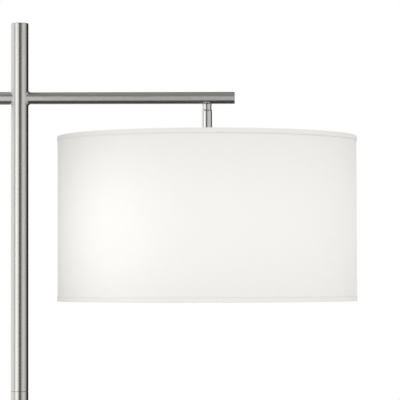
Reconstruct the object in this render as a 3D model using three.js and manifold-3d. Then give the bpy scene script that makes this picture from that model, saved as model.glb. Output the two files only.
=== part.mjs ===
// Floor lamp: a round pole on a weighted base, crossed near its top by a horizontal arm.
// A drum shade hangs from the long end of the arm on a short stem. A swivel in the stem lets
// the shade turn about the stem and hang straight, and two bulbs on a cluster light it.
//
// Millimetres. +Z is up, +X runs along the arm towards the shade, and the origin is the
// centre of the base's underside, on the axis of the pole.

import * as THREE from "three";
import { mergeVertices } from "three/addons/utils/BufferGeometryUtils.js";
import Module from "manifold-3d";

const wasm = await Module();
wasm.setup();

// ---------------------------------------------------------------- driving dimensions

// Clearances
const FIT = 0.3; // between pieces that seat on or in each other
const RUN = 0.4; // between pieces that turn on each other

// Overall sizes
const TOTAL_HEIGHT = 1575; // floor to the top of the pole
const BASE_DIAMETER = 280;
const BASE_HEIGHT = 24;
const SHADE_DIAMETER = 420;
const SHADE_HEIGHT = 230;
const ARM_BELOW_TOP = 105.5; // top of the pole down to the axis of the arm
const SHADE_BELOW_ARM = 55; // axis of the arm down to the top edge of the shade
const ARM_OVERHANG = 39; // axis of the stem to the end of the arm
const STUB_REACH = 105.5; // axis of the pole to the end of the short arm

// Tubes
const POLE_DIAMETER = 24.5;
const POLE_WALL = 1.5;
const LOWER_POLE_LENGTH = 517;
const MIDDLE_POLE_LENGTH = 517;
const ARM_DIAMETER = 16.7;
const ARM_WALL = 1.2;
const STUB_DIAMETER = 17.8;
const STUB_WALL = 1.2;
const TUBE_EDGE = 0.8; // broken edge at the free end of a tube
const PLUG_LENGTH = 8;
const PLUG_RECESS = 0.4; // a plug sits this far inside its tube's end
const COUPLER_LENGTH = 50;
const COUPLER_BORE = 12;

// Threaded tube used at the base and above the cluster
const NIPPLE_DIAMETER = 9.6;
const NIPPLE_BORE = 6.4;

// Base
const BASE_EDGE = 4; // radius of the rim's top edge
const COVER_WALL = 1.5;
const COVER_LIFT = 2; // floor to the lower edge of the cover
const PAD_INSET = 4; // the pad's edge inside the cover's edge
const PAD_THICKNESS = 3;
const WEIGHT_WEB = 7; // iron left above the recess
const RECESS_RADIUS = 40;
const GROOVE_WIDTH = 13; // lead groove from the recess to the rim
const WASHER_RADIUS = 12;
const WASHER_THICKNESS = 1;
const NUT_ACROSS = 16; // across corners
const NUT_HEIGHT = 3.3;
const NIPPLE_BELOW_NUT = 0.4;
const NIPPLE_RISE = 16; // above the cover, into the pole's foot
const FOOT_LENGTH = 22;

// Lead and its gland
const LEAD_DIAMETER = 3.6;
const LEAD_ROOM = 0.6; // round the lead in a bore that carries it
const LEAD_HEIGHT = 9.5; // floor to the axis of the gland
const LEAD_RUN_HEIGHT = 5.9; // floor to the lead below the nipple
const LEAD_BEND = 5;
const POLE_BEND = 9;
const LEAD_RISE = 3; // the lead runs this far above the arm's axis
const GLAND_NECK = 4.2;
const GLAND_FLANGE = 6.2;
const GLAND_LIP = 5.2;
const GLAND_FLANGE_THICKNESS = 1.6;
const GLAND_LIP_THICKNESS = 1.4;

// Swivel. It is round, and its ball and cup are struck about the pivot.
const STEM_DIAMETER = 14.4;
const SHANK_RADIUS = 4; // threaded shank of the collar, through the arm's wall
const SHANK_NUT_HEIGHT = 4;
const SHANK_NUT_LENGTH = 16;
const SHANK_ABOVE_NUT = 0.8;
const COLLAR_SHOULDER = 2.4; // rounded shoulder that runs up the arm's underside
const COLLAR_LIP = 0.2; // collar's lower face below the arm
const NECK_TOP_STEP = 0.4; // radii of the neck, inside the stem's radius
const NECK_WAIST_STEP = 0.9;
const NECK_FOOT_STEP = 0.25;
const NECK_WALL = 1.3;
const NECK_ROOF = 1.3;
const RIVET_RADIUS = 4.5;
const RIVET_THICKNESS = 0.8;
const TONGUE_RADIUS = 3.4;
const TONGUE_HEADROOM = 0.8;
const TONGUE_EYE = 2.9; // top of the tongue to the pivot
const TONGUE_PLUG_LENGTH = 10;
const BALL_STEP = 0.3; // the ball's radius over the stem's
const PIVOT_SCREW_RADIUS = 0.9;
const TILT_RANGE = 8; // degrees each way
const SWING_MARGIN = 3.15; // between the swung shade and the pole

// Shade
const TRIM_HEIGHT = 7;
const TRIM_THICKNESS = 0.4;
const FABRIC_THICKNESS = 0.5;
const LINER_THICKNESS = 0.6;
const WIRE_RADIUS = 2;
const SPIDER_DROP = 12; // shade's top edge down to the hub
const SPIDER_WIRE_RADIUS = 1.6;
const SPIDER_BEND = 4;
const SPIDER_ARMS = 3;
const SPIDER_FIRST = 90; // degrees, direction of the first spider arm
const HUB_RADIUS = 15;
const HUB_THICKNESS = 2;
const CHECK_RING_RADIUS = 11;
const CHECK_RING_THICKNESS = 2;
const THREAD_ENGAGEMENT = 12; // of the drop tube in the stem

// Cluster, sockets and switch
const BULBS_BELOW_TOP = 130; // shade's top edge down to the bulbs' axis
const BULB_DIRECTION = 45; // degrees, direction of the first bulb
const CLUSTER_RADIUS = 22;
const CLUSTER_HEIGHT = 34;
const CLUSTER_WALL = 1.2;
const LID_THICKNESS = 1.5;
const SOCKET_RADIUS = 17;
const SOCKET_WALL = 1;
const SOCKET_CAP_LENGTH = 13;
const SOCKET_SHELL_LENGTH = 28;
const CORE_BACK = 9; // thickness behind the lamp holder's cavity
const CORE_SETBACK = 2;
const CORE_START = 8; // cap's back to the core
const SCREW_RADIUS = 13.2; // outside of the bulb's screw shell
const SCREW_WALL = 0.8;
const SCREW_LENGTH = 24;
const CONTACT_RADIUS = 4;
const CONTACT_HEIGHT = 3;
const BULB_RADIUS = 30;
const BULB_LENGTH = 108; // contact to tip
const BULB_GLASS = 1;
const BULB_NECK_INSERT = 8; // glass inside the screw shell
const BULB_NECK_LENGTH = 10; // straight neck beyond the screw shell's mouth
const SWITCH_RADIUS = 9;
const SWITCH_HEIGHT = 12;
const BUSHING_RADIUS = 4.5;
const BUSHING_LENGTH = 6;
const RING_NUT_RADIUS = 7.5;
const RING_NUT_HEIGHT = 3;
const SHAFT_RADIUS = 1.5;
const SHAFT_LENGTH = 28;
const SHAFT_ENGAGEMENT = 8; // inside the switch
const KNOB_RADIUS = 6.5;
const KNOB_HEIGHT = 14;
const KNOB_EDGE = 1;

// Facets
const FINE = 48; // base and shade
const ROUND = 24; // tubes
const SMALL = 14;
const WIRE_SIDES = 6;
const LEAD_SIDES = 6;
const ARC_STEPS = 2;

// ---------------------------------------------------------------- sizes that follow

const POLE_R = POLE_DIAMETER / 2;
const POLE_BORE_R = POLE_R - POLE_WALL;
const ARM_R = ARM_DIAMETER / 2;
const ARM_BORE_R = ARM_R - ARM_WALL;
const STUB_R = STUB_DIAMETER / 2;
const STEM_R = STEM_DIAMETER / 2;
const BASE_R = BASE_DIAMETER / 2;
const SHADE_R = SHADE_DIAMETER / 2;
const NIPPLE_R = NIPPLE_DIAMETER / 2;
const NIPPLE_CLEAR_R = NIPPLE_R + FIT;
const LEAD_R = LEAD_DIAMETER / 2;
const LEAD_BORE_R = LEAD_R + LEAD_ROOM;
const ARM_Z = TOTAL_HEIGHT - ARM_BELOW_TOP;

// Heights in the hanger's own frame, whose origin is on the arm's axis above the stem
const COLLAR_BOTTOM = -ARM_R - COLLAR_LIP;
const NECK_TOP = COLLAR_BOTTOM - RUN;
const ROOF_BOTTOM = NECK_TOP - NECK_ROOF;
const RIVET_TOP = ROOF_BOTTOM - RUN;
const RIVET_BOTTOM = RIVET_TOP - RIVET_THICKNESS;
const TONGUE_TOP = RIVET_BOTTOM - TONGUE_HEADROOM;
const PIVOT_Z = TONGUE_TOP - TONGUE_EYE;
const BALL_R = STEM_R + BALL_STEP;
const CUP_R = BALL_R + RUN;
const STEM_BORE_R = NIPPLE_CLEAR_R;
const TONGUE_PLUG_TOP = PIVOT_Z - CUP_R - FIT;
const SHADE_TOP = -SHADE_BELOW_ARM;
const SHADE_BOTTOM = SHADE_TOP - SHADE_HEIGHT;
const HUB_Z = SHADE_TOP - SPIDER_DROP;
const HUB_TOP = HUB_Z + HUB_THICKNESS / 2;
const HUB_BOTTOM = HUB_Z - HUB_THICKNESS / 2;
const STEM_BOTTOM = HUB_TOP + FIT + CHECK_RING_THICKNESS + FIT;
const CLUSTER_Z = SHADE_TOP - BULBS_BELOW_TOP;
const CLUSTER_TOP = CLUSTER_HEIGHT / 2;
const CLUSTER_BOTTOM = -CLUSTER_HEIGHT / 2;

// The stem stands far enough out for the shade to swing to its stop without meeting the pole
const SWING = (SHADE_HEIGHT + SHADE_BELOW_ARM + PIVOT_Z) * Math.sin(THREE.MathUtils.degToRad(TILT_RANGE));
const STEM_X = POLE_R + SHADE_R + SWING + SWING_MARGIN;
const ARM_REACH = STEM_X + ARM_OVERHANG;

// Layers of the shade, from the outside in
const FABRIC_R = SHADE_R - TRIM_THICKNESS - FIT;
const LINER_R = FABRIC_R - FABRIC_THICKNESS - FIT;
const WIRE_RING_R = LINER_R - LINER_THICKNESS - FIT - WIRE_RADIUS;
const WIRE_INSET = TRIM_THICKNESS + FIT + WIRE_RADIUS; // shade's edge to the wire's axis

const FINISHES = {
  nickel: { color: 0x9d9b96, roughness: 0.32, metalness: 1 },
  steel: { color: 0xb4b4b0, roughness: 0.35, metalness: 1 },
  iron: { color: 0x3a3a3c, roughness: 0.8, metalness: 0.6 },
  felt: { color: 0x26262a, roughness: 1, metalness: 0 },
  rubber: { color: 0x1c1c1e, roughness: 0.7, metalness: 0 },
  lead: { color: 0xe4e2da, roughness: 0.5, metalness: 0 },
  fabric: { color: 0xf3f2ee, roughness: 0.95, metalness: 0 },
  liner: { color: 0xfbfaf6, roughness: 0.5, metalness: 0 },
  whiteWire: { color: 0xf0efea, roughness: 0.5, metalness: 0.2 },
  porcelain: { color: 0xf4f2ea, roughness: 0.3, metalness: 0 },
  brass: { color: 0xc8a85a, roughness: 0.35, metalness: 1 },
  glass: { color: 0xfffdf6, roughness: 0.35, metalness: 0 },
  black: { color: 0x1a1a1b, roughness: 0.4, metalness: 0 },
};

// ---------------------------------------------------------------- geometry helpers

/** Six times the volume that a closed mesh encloses, positive when its faces point out. */
function signedVolume(position, index) {
  const [a, b, c] = [new THREE.Vector3(), new THREE.Vector3(), new THREE.Vector3()];
  let total = 0;
  for (let i = 0; i < index.length; i += 3) {
    a.fromBufferAttribute(position, index[i]);
    b.fromBufferAttribute(position, index[i + 1]);
    c.fromBufferAttribute(position, index[i + 2]);
    total += a.dot(b.cross(c));
  }
  return total;
}

/** Shares the vertices of a closed geometry, drops faces with no area and faces it outwards. */
function closed(geometry) {
  geometry.deleteAttribute("normal");
  geometry.deleteAttribute("uv");
  const merged = mergeVertices(geometry);
  const all = merged.index.array;
  const kept = [];
  for (let i = 0; i < all.length; i += 3) {
    const [a, b, c] = [all[i], all[i + 1], all[i + 2]];
    if (a !== b && b !== c && c !== a) {
      kept.push(a, b, c);
    }
  }
  if (signedVolume(merged.attributes.position, kept) < 0) {
    kept.reverse();
  }
  merged.setIndex(kept);
  return merged;
}

/** A solid of revolution about Z from [radius, height] points; it closes itself off the axis. */
function turned(profile, segments = ROUND) {
  const points = profile.map(([radius, height]) => new THREE.Vector2(radius, height));
  if (profile[0][0] > 0) {
    points.push(points[0].clone());
  }
  return closed(new THREE.LatheGeometry(points, segments).rotateX(Math.PI / 2));
}

/** A round bar about Z. */
function bar(radius, low, high, segments = ROUND) {
  return turned([[0, low], [radius, low], [radius, high], [0, high]], segments);
}

/** A round tube about Z. */
function tube(outer, inner, low, high, segments = ROUND) {
  return turned([[inner, low], [outer, low], [outer, high], [inner, high]], segments);
}

/** Points of an arc in the [radius, height] plane, angles in degrees from the radial axis. */
function arc(radiusCentre, heightCentre, size, from, to, steps = ARC_STEPS) {
  return Array.from({ length: steps + 1 }, (_, i) => {
    const angle = THREE.MathUtils.degToRad(from + ((to - from) * i) / steps);
    return [radiusCentre + size * Math.cos(angle), heightCentre + size * Math.sin(angle)];
  });
}

/** A box from its lowest to its highest corner. */
function block([x0, y0, z0], [x1, y1, z1]) {
  const box = new THREE.BoxGeometry(x1 - x0, y1 - y0, z1 - z0);
  return closed(box.translate((x0 + x1) / 2, (y0 + y1) / 2, (z0 + z1) / 2));
}

/** A route of straight stretches, sampled so that each of its points gets one section. */
class Route extends THREE.Curve {
  constructor(points) {
    super();
    this.points = points;
  }

  getPoint(t, target = new THREE.Vector3()) {
    const place = t * (this.points.length - 1);
    const first = Math.min(Math.floor(place), this.points.length - 2);
    return target.lerpVectors(this.points[first], this.points[first + 1], place - first);
  }

  getPointAt(u, target) {
    return this.getPoint(u, target);
  }

  getTangentAt(u, target) {
    return this.getTangent(u, target);
  }
}

/** Rounds a corner of a route: points of the arc that touches both straight stretches. */
function rounded(before, corner, after, radius, steps = 4) {
  const toBefore = before.clone().sub(corner).normalize();
  const toAfter = after.clone().sub(corner).normalize();
  const half = toBefore.angleTo(toAfter) / 2;
  const bisector = toBefore.clone().add(toAfter).normalize();
  const centre = bisector.multiplyScalar(radius / Math.sin(half)).add(corner);
  const start = corner.clone().addScaledVector(toBefore, radius / Math.tan(half)).sub(centre);
  const end = corner.clone().addScaledVector(toAfter, radius / Math.tan(half)).sub(centre);
  const sweep = start.angleTo(end);
  return Array.from({ length: steps + 1 }, (_, i) => {
    const share = i / steps;
    const from = start.clone().multiplyScalar(Math.sin((1 - share) * sweep) / Math.sin(sweep));
    return from.addScaledVector(end, Math.sin(share * sweep) / Math.sin(sweep)).add(centre);
  });
}

/** A wire or lead of a round section along corners, each inner one rounded to its radius. */
function wire(corners, bends, radius, sides) {
  const points = corners.map((corner) => new THREE.Vector3(...corner));
  const inner = bends.flatMap((bend, i) => rounded(points[i], points[i + 1], points[i + 2], bend));
  const route = new Route([points[0], ...inner, points.at(-1)]);
  const turn = (i) => (2 * Math.PI * i) / sides;
  const section = Array.from(
    { length: sides },
    (_, i) => new THREE.Vector2(radius * Math.cos(turn(i)), radius * Math.sin(turn(i))),
  );
  return closed(
    new THREE.ExtrudeGeometry(new THREE.Shape(section), {
      steps: route.points.length - 1,
      bevelEnabled: false,
      extrudePath: route,
    }),
  );
}

/** The manifold solid of a closed geometry. */
function solid(geometry) {
  const vertProperties = new Float32Array(geometry.attributes.position.array);
  const triVerts = new Uint32Array(geometry.index.array);
  return new wasm.Manifold(new wasm.Mesh({ numProp: 3, vertProperties, triVerts }));
}

/** The geometry of a manifold solid. */
function geometryOf(manifold) {
  const { vertProperties, triVerts } = manifold.getMesh();
  const geometry = new THREE.BufferGeometry();
  geometry.setAttribute("position", new THREE.BufferAttribute(vertProperties, 3));
  geometry.setIndex(new THREE.BufferAttribute(triVerts, 1));
  return geometry;
}

/** A geometry with tools cut away from it. */
function cut(geometry, ...tools) {
  return geometryOf(tools.reduce((rest, tool) => rest.subtract(solid(tool)), solid(geometry)));
}

/** Two geometries joined into one solid. */
function joined(first, second) {
  return geometryOf(solid(first).add(solid(second)));
}

/** What two geometries have in common. */
function common(first, second) {
  return geometryOf(solid(first).intersect(solid(second)));
}

/** A bar along X, used to cut or fit round horizontal tubes. */
function crossBar(radius, low, high, segments = ROUND) {
  return bar(radius, low, high, segments).rotateY(Math.PI / 2);
}

/** A named mesh with a finish of its own. */
function piece(name, geometry, finish) {
  geometry.computeVertexNormals();
  const mesh = new THREE.Mesh(geometry, new THREE.MeshStandardMaterial(FINISHES[finish]));
  mesh.name = name;
  return mesh;
}

/** A hexagonal nut about Z. */
function hexNut(across, boreRadius, low, high) {
  return cut(bar(across / 2, low, high, 6), bar(boreRadius, low - 1, high + 1, SMALL));
}

// ---------------------------------------------------------------- base

const WEIGHT_BOTTOM = PAD_THICKNESS + FIT;
const WEIGHT_TOP = BASE_HEIGHT - COVER_WALL - FIT;
const RECESS_TOP = WEIGHT_TOP - WEIGHT_WEB;
const WASHER_TOP = RECESS_TOP - FIT;
const BASE_NUT_TOP = WASHER_TOP - WASHER_THICKNESS - FIT;
const BASE_NUT_BOTTOM = BASE_NUT_TOP - NUT_HEIGHT;

function basePad() {
  return piece("base_pad", bar(BASE_R - PAD_INSET, 0, PAD_THICKNESS, FINE), "felt");
}

/** Cast-iron disc with a recess for the nut and a groove that leads the cord to the rim. */
function baseWeight() {
  const outer = BASE_R - COVER_WALL - FIT;
  const edge = BASE_EDGE - COVER_WALL - FIT;
  const disc = turned(
    [
      [NIPPLE_CLEAR_R, RECESS_TOP],
      [RECESS_RADIUS, RECESS_TOP],
      [RECESS_RADIUS, WEIGHT_BOTTOM],
      [outer, WEIGHT_BOTTOM],
      ...arc(outer - edge, WEIGHT_TOP - edge, edge, 0, 90),
      [NIPPLE_CLEAR_R, WEIGHT_TOP],
    ],
    FINE,
  );
  const half = GROOVE_WIDTH / 2;
  const groove = block([-half, RECESS_RADIUS / 2, 0], [half, BASE_DIAMETER, RECESS_TOP]);
  return piece("base_weight", cut(disc, groove), "iron");
}

/** Spun cover with a rounded rim and a hole for the cord's gland. */
function baseCover() {
  const inner = BASE_R - COVER_WALL;
  const shell = turned(
    [
      [inner, COVER_LIFT],
      [BASE_R, COVER_LIFT],
      ...arc(BASE_R - BASE_EDGE, BASE_HEIGHT - BASE_EDGE, BASE_EDGE, 0, 90),
      [NIPPLE_CLEAR_R, BASE_HEIGHT],
      [NIPPLE_CLEAR_R, BASE_HEIGHT - COVER_WALL],
      ...arc(BASE_R - BASE_EDGE, BASE_HEIGHT - BASE_EDGE, BASE_EDGE - COVER_WALL, 90, 0),
    ],
    FINE,
  );
  const hole = bar(GLAND_NECK + FIT, BASE_R / 2, BASE_DIAMETER, SMALL);
  return piece("base_cover", cut(shell, hole.rotateX(-Math.PI / 2).translate(0, 0, LEAD_HEIGHT)), "nickel");
}

/** Rubber bushing that snaps into the cover's rim, at the back. */
function cordGland() {
  const back = -COVER_WALL - 2 * FIT;
  const mesh = piece(
    "cord_gland",
    turned(
      [
        [LEAD_BORE_R, back - GLAND_LIP_THICKNESS],
        [GLAND_LIP, back - GLAND_LIP_THICKNESS],
        [GLAND_LIP, back],
        [GLAND_NECK, back],
        [GLAND_NECK, FIT],
        [GLAND_FLANGE, FIT],
        [GLAND_FLANGE, FIT + GLAND_FLANGE_THICKNESS],
        [LEAD_BORE_R, FIT + GLAND_FLANGE_THICKNESS],
      ],
      SMALL,
    ),
    "rubber",
  );
  mesh.rotation.x = -Math.PI / 2;
  mesh.position.set(0, BASE_R, LEAD_HEIGHT);
  return mesh;
}

function baseNipple() {
  const bottom = BASE_NUT_BOTTOM - NIPPLE_BELOW_NUT;
  const nipple = tube(NIPPLE_R, NIPPLE_BORE / 2, bottom, BASE_HEIGHT + NIPPLE_RISE, SMALL);
  return piece("base_nipple", nipple, "steel");
}

function baseWasher() {
  const washer = tube(WASHER_RADIUS, NIPPLE_CLEAR_R, WASHER_TOP - WASHER_THICKNESS, WASHER_TOP, SMALL);
  return piece("base_washer", washer, "steel");
}

function baseLockNut() {
  return piece("base_lock_nut", hexNut(NUT_ACROSS, NIPPLE_CLEAR_R, BASE_NUT_BOTTOM, BASE_NUT_TOP), "steel");
}

// ---------------------------------------------------------------- pole

const FOOT_Z = BASE_HEIGHT + FIT;
const FIRST_SEAM = FOOT_Z + LOWER_POLE_LENGTH;
const SECOND_SEAM = FIRST_SEAM + FIT + MIDDLE_POLE_LENGTH;
const UPPER_POLE_Z = SECOND_SEAM + FIT;
const TUBE_PLUG_R = POLE_BORE_R - FIT;

function poleSection(name, low, high) {
  return piece(name, tube(POLE_R, POLE_BORE_R, low, high), "nickel");
}

/** Top section, with a broken edge at its top and a hole where the lead turns into the arm. */
function upperPole() {
  const section = turned([
    [POLE_BORE_R, UPPER_POLE_Z],
    [POLE_R, UPPER_POLE_Z],
    [POLE_R, TOTAL_HEIGHT - TUBE_EDGE],
    [POLE_R - TUBE_EDGE, TOTAL_HEIGHT],
    [POLE_BORE_R, TOTAL_HEIGHT],
  ]);
  const leadHole = crossBar(ARM_BORE_R - ARM_WALL, 0, POLE_DIAMETER, SMALL).translate(0, 0, ARM_Z);
  return piece("pole_upper", cut(section, leadHole), "nickel");
}

/** Insert inside the bottom of the pole that screws onto the base's nipple. */
function poleFoot() {
  const insert = tube(TUBE_PLUG_R, NIPPLE_CLEAR_R, FOOT_Z + FIT, FOOT_Z + FOOT_LENGTH);
  return piece("pole_foot_insert", insert, "steel");
}

/** Sleeve inside the pole that joins two sections. */
function poleCoupler(name, seam) {
  const half = COUPLER_LENGTH / 2;
  return piece(name, tube(TUBE_PLUG_R, COUPLER_BORE / 2, seam - half, seam + half), "steel");
}

function poleTopPlug() {
  const top = TOTAL_HEIGHT - PLUG_RECESS;
  return piece("pole_top_plug", bar(TUBE_PLUG_R, top - PLUG_LENGTH, top), "nickel");
}

// ---------------------------------------------------------------- cross arm
// These stand in a frame whose origin is where the axes of the pole and the arm cross.

/** A tube along X from the pole's wall, whose near end is coped to fit round the pole. */
function copedTube(outer, wall, reach) {
  const plain = turned([
    [outer - wall, 0],
    [outer, 0],
    [outer, reach - TUBE_EDGE],
    [outer - TUBE_EDGE, reach],
    [outer - wall, reach],
  ]);
  return cut(plain.rotateY(Math.PI / 2), bar(POLE_R + FIT, -POLE_DIAMETER, POLE_DIAMETER));
}

/** The long arm, with a hole under it for the swivel's shank. */
function crossArm() {
  const shankHole = bar(SHANK_RADIUS + FIT, -ARM_DIAMETER, 0, SMALL).translate(STEM_X, 0, 0);
  return piece("cross_arm", cut(copedTube(ARM_R, ARM_WALL, ARM_REACH), shankHole), "nickel");
}

function crossStub() {
  const mesh = piece("cross_stub", copedTube(STUB_R, STUB_WALL, STUB_REACH), "nickel");
  mesh.rotation.z = Math.PI;
  return mesh;
}

/** Plug that closes the free end of a horizontal tube, a little inside it. */
function endPlug(name, boreRadius, reach) {
  const end = reach - PLUG_RECESS;
  return piece(name, crossBar(boreRadius - FIT, end - PLUG_LENGTH, end), "nickel");
}

function stubEndPlug() {
  const mesh = endPlug("stub_end_plug", STUB_R - STUB_WALL, STUB_REACH);
  mesh.rotation.z = Math.PI;
  return mesh;
}

/** Lead from the gland through the base, up the pole, along the arm and into the swivel. */
function internalLead() {
  const shankTop = RIVET_BOTTOM + FIT + ARM_Z;
  const corners = [
    [0, BASE_R - COVER_WALL, LEAD_HEIGHT],
    [0, BASE_R - BASE_R / 4, LEAD_HEIGHT],
    [0, RECESS_RADIUS, LEAD_RUN_HEIGHT],
    [0, 0, LEAD_RUN_HEIGHT],
    [0, 0, ARM_Z],
    [POLE_R + POLE_DIAMETER, 0, ARM_Z],
    [POLE_R + POLE_DIAMETER * 2, 0, ARM_Z + LEAD_RISE],
    [STEM_X, 0, ARM_Z + LEAD_RISE],
    [STEM_X, 0, shankTop],
  ];
  const wide = POLE_DIAMETER;
  const bends = [wide, wide, LEAD_BEND, POLE_BEND, wide, wide, LEAD_BEND];
  return piece("internal_lead", wire(corners, bends, LEAD_R, LEAD_SIDES), "lead");
}

// ---------------------------------------------------------------- swivel
// From here on the origin is on the arm's axis, above the stem.

const SHANK_NUT_BOTTOM = -(ARM_BORE_R - FIT);
const SHANK_NUT_TOP = SHANK_NUT_BOTTOM + SHANK_NUT_HEIGHT;
const NECK_TOP_R = STEM_R - NECK_TOP_STEP;
const NECK_WAIST_R = STEM_R - NECK_WAIST_STEP;
const NECK_FOOT_R = STEM_R - NECK_FOOT_STEP;

/** Bar nut that lies in the arm's bore and holds the swivel's shank. */
function armSwivelNut() {
  const half = SHANK_NUT_LENGTH / 2;
  const core = crossBar(ARM_BORE_R - FIT, -half, half);
  const slab = block([-half - 1, -ARM_R, -ARM_R], [half + 1, ARM_R, SHANK_NUT_TOP]);
  const hole = bar(SHANK_RADIUS + FIT, -ARM_R, ARM_R, SMALL);
  return piece("arm_swivel_nut", cut(common(core, slab), hole), "steel");
}

/** Collar with a coped shoulder, a hollow shank into the arm and a riveted end in the neck. */
function swivelCollar() {
  const shoulder = arc(
    NECK_TOP_R - COLLAR_SHOULDER,
    COLLAR_BOTTOM + COLLAR_LIP + FIT,
    COLLAR_SHOULDER,
    0,
    90,
  );
  const body = turned([
    [0, COLLAR_BOTTOM],
    [NECK_TOP_R, COLLAR_BOTTOM],
    ...shoulder,
    [0, shoulder.at(-1)[1]],
  ]);
  const coped = cut(body, crossBar(ARM_R + FIT, -ARM_DIAMETER, ARM_DIAMETER));
  const shankTop = SHANK_NUT_TOP + SHANK_ABOVE_NUT;
  const spindle = turned([
    [0, RIVET_BOTTOM],
    [RIVET_RADIUS, RIVET_BOTTOM],
    [RIVET_RADIUS, RIVET_TOP],
    [TONGUE_RADIUS, RIVET_TOP],
    [TONGUE_RADIUS, COLLAR_BOTTOM],
    [SHANK_RADIUS, COLLAR_BOTTOM],
    [SHANK_RADIUS, shankTop],
    [0, shankTop],
  ]);
  const leadWay = bar(LEAD_BORE_R, RIVET_BOTTOM - 1, shankTop + 1, SMALL);
  return piece("swivel_collar", cut(joined(coped, spindle), leadWay), "nickel");
}

/** Height of a sphere about the pivot at a radius, on its lower side. */
function sphereZ(size, radius) {
  return PIVOT_Z - Math.sqrt(size * size - radius * radius);
}

/** Points down or up a sphere about the pivot between two radii. */
function sphereZone(size, from, to) {
  return Array.from({ length: ARC_STEPS + 1 }, (_, i) => {
    const radius = from + ((to - from) * i) / ARC_STEPS;
    return [radius, sphereZ(size, radius)];
  });
}

/** Waisted neck that turns on the collar's spindle and ends in a hollow ball. */
function swivelNeck() {
  const bore = NECK_WAIST_R - NECK_WALL;
  const spindleHole = TONGUE_RADIUS + RUN;
  const waistZ = (NECK_TOP + PIVOT_Z) / 2 - NECK_WALL;
  const neck = turned([
    [spindleHole, ROOF_BOTTOM],
    [bore, ROOF_BOTTOM],
    ...sphereZone(BALL_R, bore, NECK_FOOT_R),
    [NECK_FOOT_R, PIVOT_Z - RUN],
    [NECK_WAIST_R, waistZ],
    [NECK_TOP_R, NECK_TOP - RUN],
    [NECK_TOP_R - RUN, NECK_TOP],
    [spindleHole, NECK_TOP],
  ]);
  const screwHoles = crossBar(PIVOT_SCREW_RADIUS + FIT, -STEM_DIAMETER, STEM_DIAMETER, SMALL);
  return piece("swivel_neck", cut(neck, screwHoles.translate(0, 0, PIVOT_Z)), "nickel");
}

/** One of the two pivot screws, from the neck's wall into the wall of the tongue. */
function pivotScrew(name, turn) {
  const mesh = piece(
    name,
    crossBar(PIVOT_SCREW_RADIUS, LEAD_BORE_R + FIT, NECK_WAIST_R - FIT, SMALL),
    "steel",
  );
  mesh.position.z = PIVOT_Z;
  mesh.rotation.z = turn;
  return mesh;
}

/** Hollow tongue that hangs on the pivot screws, with a plug that screws into the stem. */
function swivelTongue() {
  const plug = STEM_BORE_R - FIT;
  const tongue = turned([
    [LEAD_BORE_R, TONGUE_PLUG_TOP - TONGUE_PLUG_LENGTH],
    [plug, TONGUE_PLUG_TOP - TONGUE_PLUG_LENGTH],
    [plug, TONGUE_PLUG_TOP],
    [TONGUE_RADIUS, TONGUE_PLUG_TOP],
    [TONGUE_RADIUS, TONGUE_TOP],
    [LEAD_BORE_R, TONGUE_TOP],
  ]);
  const eyes = crossBar(PIVOT_SCREW_RADIUS + FIT, -STEM_DIAMETER, STEM_DIAMETER, SMALL);
  return piece("swivel_tongue", cut(tongue, eyes.translate(0, 0, PIVOT_Z)), "steel");
}

/** Stem with a cup at its top that follows the neck's ball. */
function stemTube() {
  const stem = turned([
    [STEM_BORE_R, STEM_BOTTOM],
    [STEM_R, STEM_BOTTOM],
    ...sphereZone(CUP_R, STEM_R, STEM_BORE_R),
  ]);
  return piece("stem_tube", stem, "nickel");
}

// ---------------------------------------------------------------- shade

/** A layer of the shade's wall, between the trims' folded edges. */
function wallLayer(name, outer, thickness, finish) {
  const low = SHADE_BOTTOM + TRIM_THICKNESS + FIT;
  const high = SHADE_TOP - TRIM_THICKNESS - FIT;
  return piece(name, tube(outer, outer - thickness, low, high, FINE), finish);
}

/** Trim folded over an edge of the shade and round its wire. Up is 1 at the top, -1 below. */
function edgeTrim(name, edge, up) {
  const lip = WIRE_RING_R - WIRE_RADIUS - FIT;
  const height = (depth) => edge - up * depth;
  const band = turned(
    [
      [SHADE_R, height(TRIM_HEIGHT)],
      [SHADE_R, height(0)],
      [lip - TRIM_THICKNESS, height(0)],
      [lip - TRIM_THICKNESS, height(WIRE_RADIUS)],
      [lip, height(WIRE_RADIUS)],
      [lip, height(TRIM_THICKNESS)],
      [SHADE_R - TRIM_THICKNESS, height(TRIM_THICKNESS)],
      [SHADE_R - TRIM_THICKNESS, height(TRIM_HEIGHT)],
    ],
    FINE,
  );
  return piece(name, band, "fabric");
}

function wireRing(name, height) {
  const ring = closed(new THREE.TorusGeometry(WIRE_RING_R, WIRE_RADIUS, WIRE_SIDES, FINE));
  return piece(name, ring.translate(0, 0, height), "whiteWire");
}

/** Wire from the hub out to the top ring, which it meets from below. */
function spiderArm(number) {
  const ringZ = SHADE_TOP - WIRE_INSET;
  const reach = (WIRE_RADIUS + FIT) * Math.SQRT1_2;
  const end = [WIRE_RING_R - reach, 0, ringZ - reach];
  const corner = [end[0] - (end[2] - HUB_Z), 0, HUB_Z];
  const start = [HUB_RADIUS + FIT, 0, HUB_Z];
  const arm = wire([start, corner, end], [SPIDER_BEND], SPIDER_WIRE_RADIUS, LEAD_SIDES);
  const mesh = piece(`spider_arm_${number + 1}`, arm, "whiteWire");
  mesh.rotation.z = THREE.MathUtils.degToRad(SPIDER_FIRST + (number * 360) / SPIDER_ARMS);
  return mesh;
}

function spiderHub() {
  return piece("spider_hub", tube(HUB_RADIUS, NIPPLE_CLEAR_R, HUB_BOTTOM, HUB_TOP), "whiteWire");
}

/** Ring between the stem's end and the hub. */
function checkRing() {
  const low = HUB_TOP + FIT;
  const ring = tube(CHECK_RING_RADIUS, NIPPLE_CLEAR_R, low, low + CHECK_RING_THICKNESS);
  return piece("check_ring", ring, "nickel");
}

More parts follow.
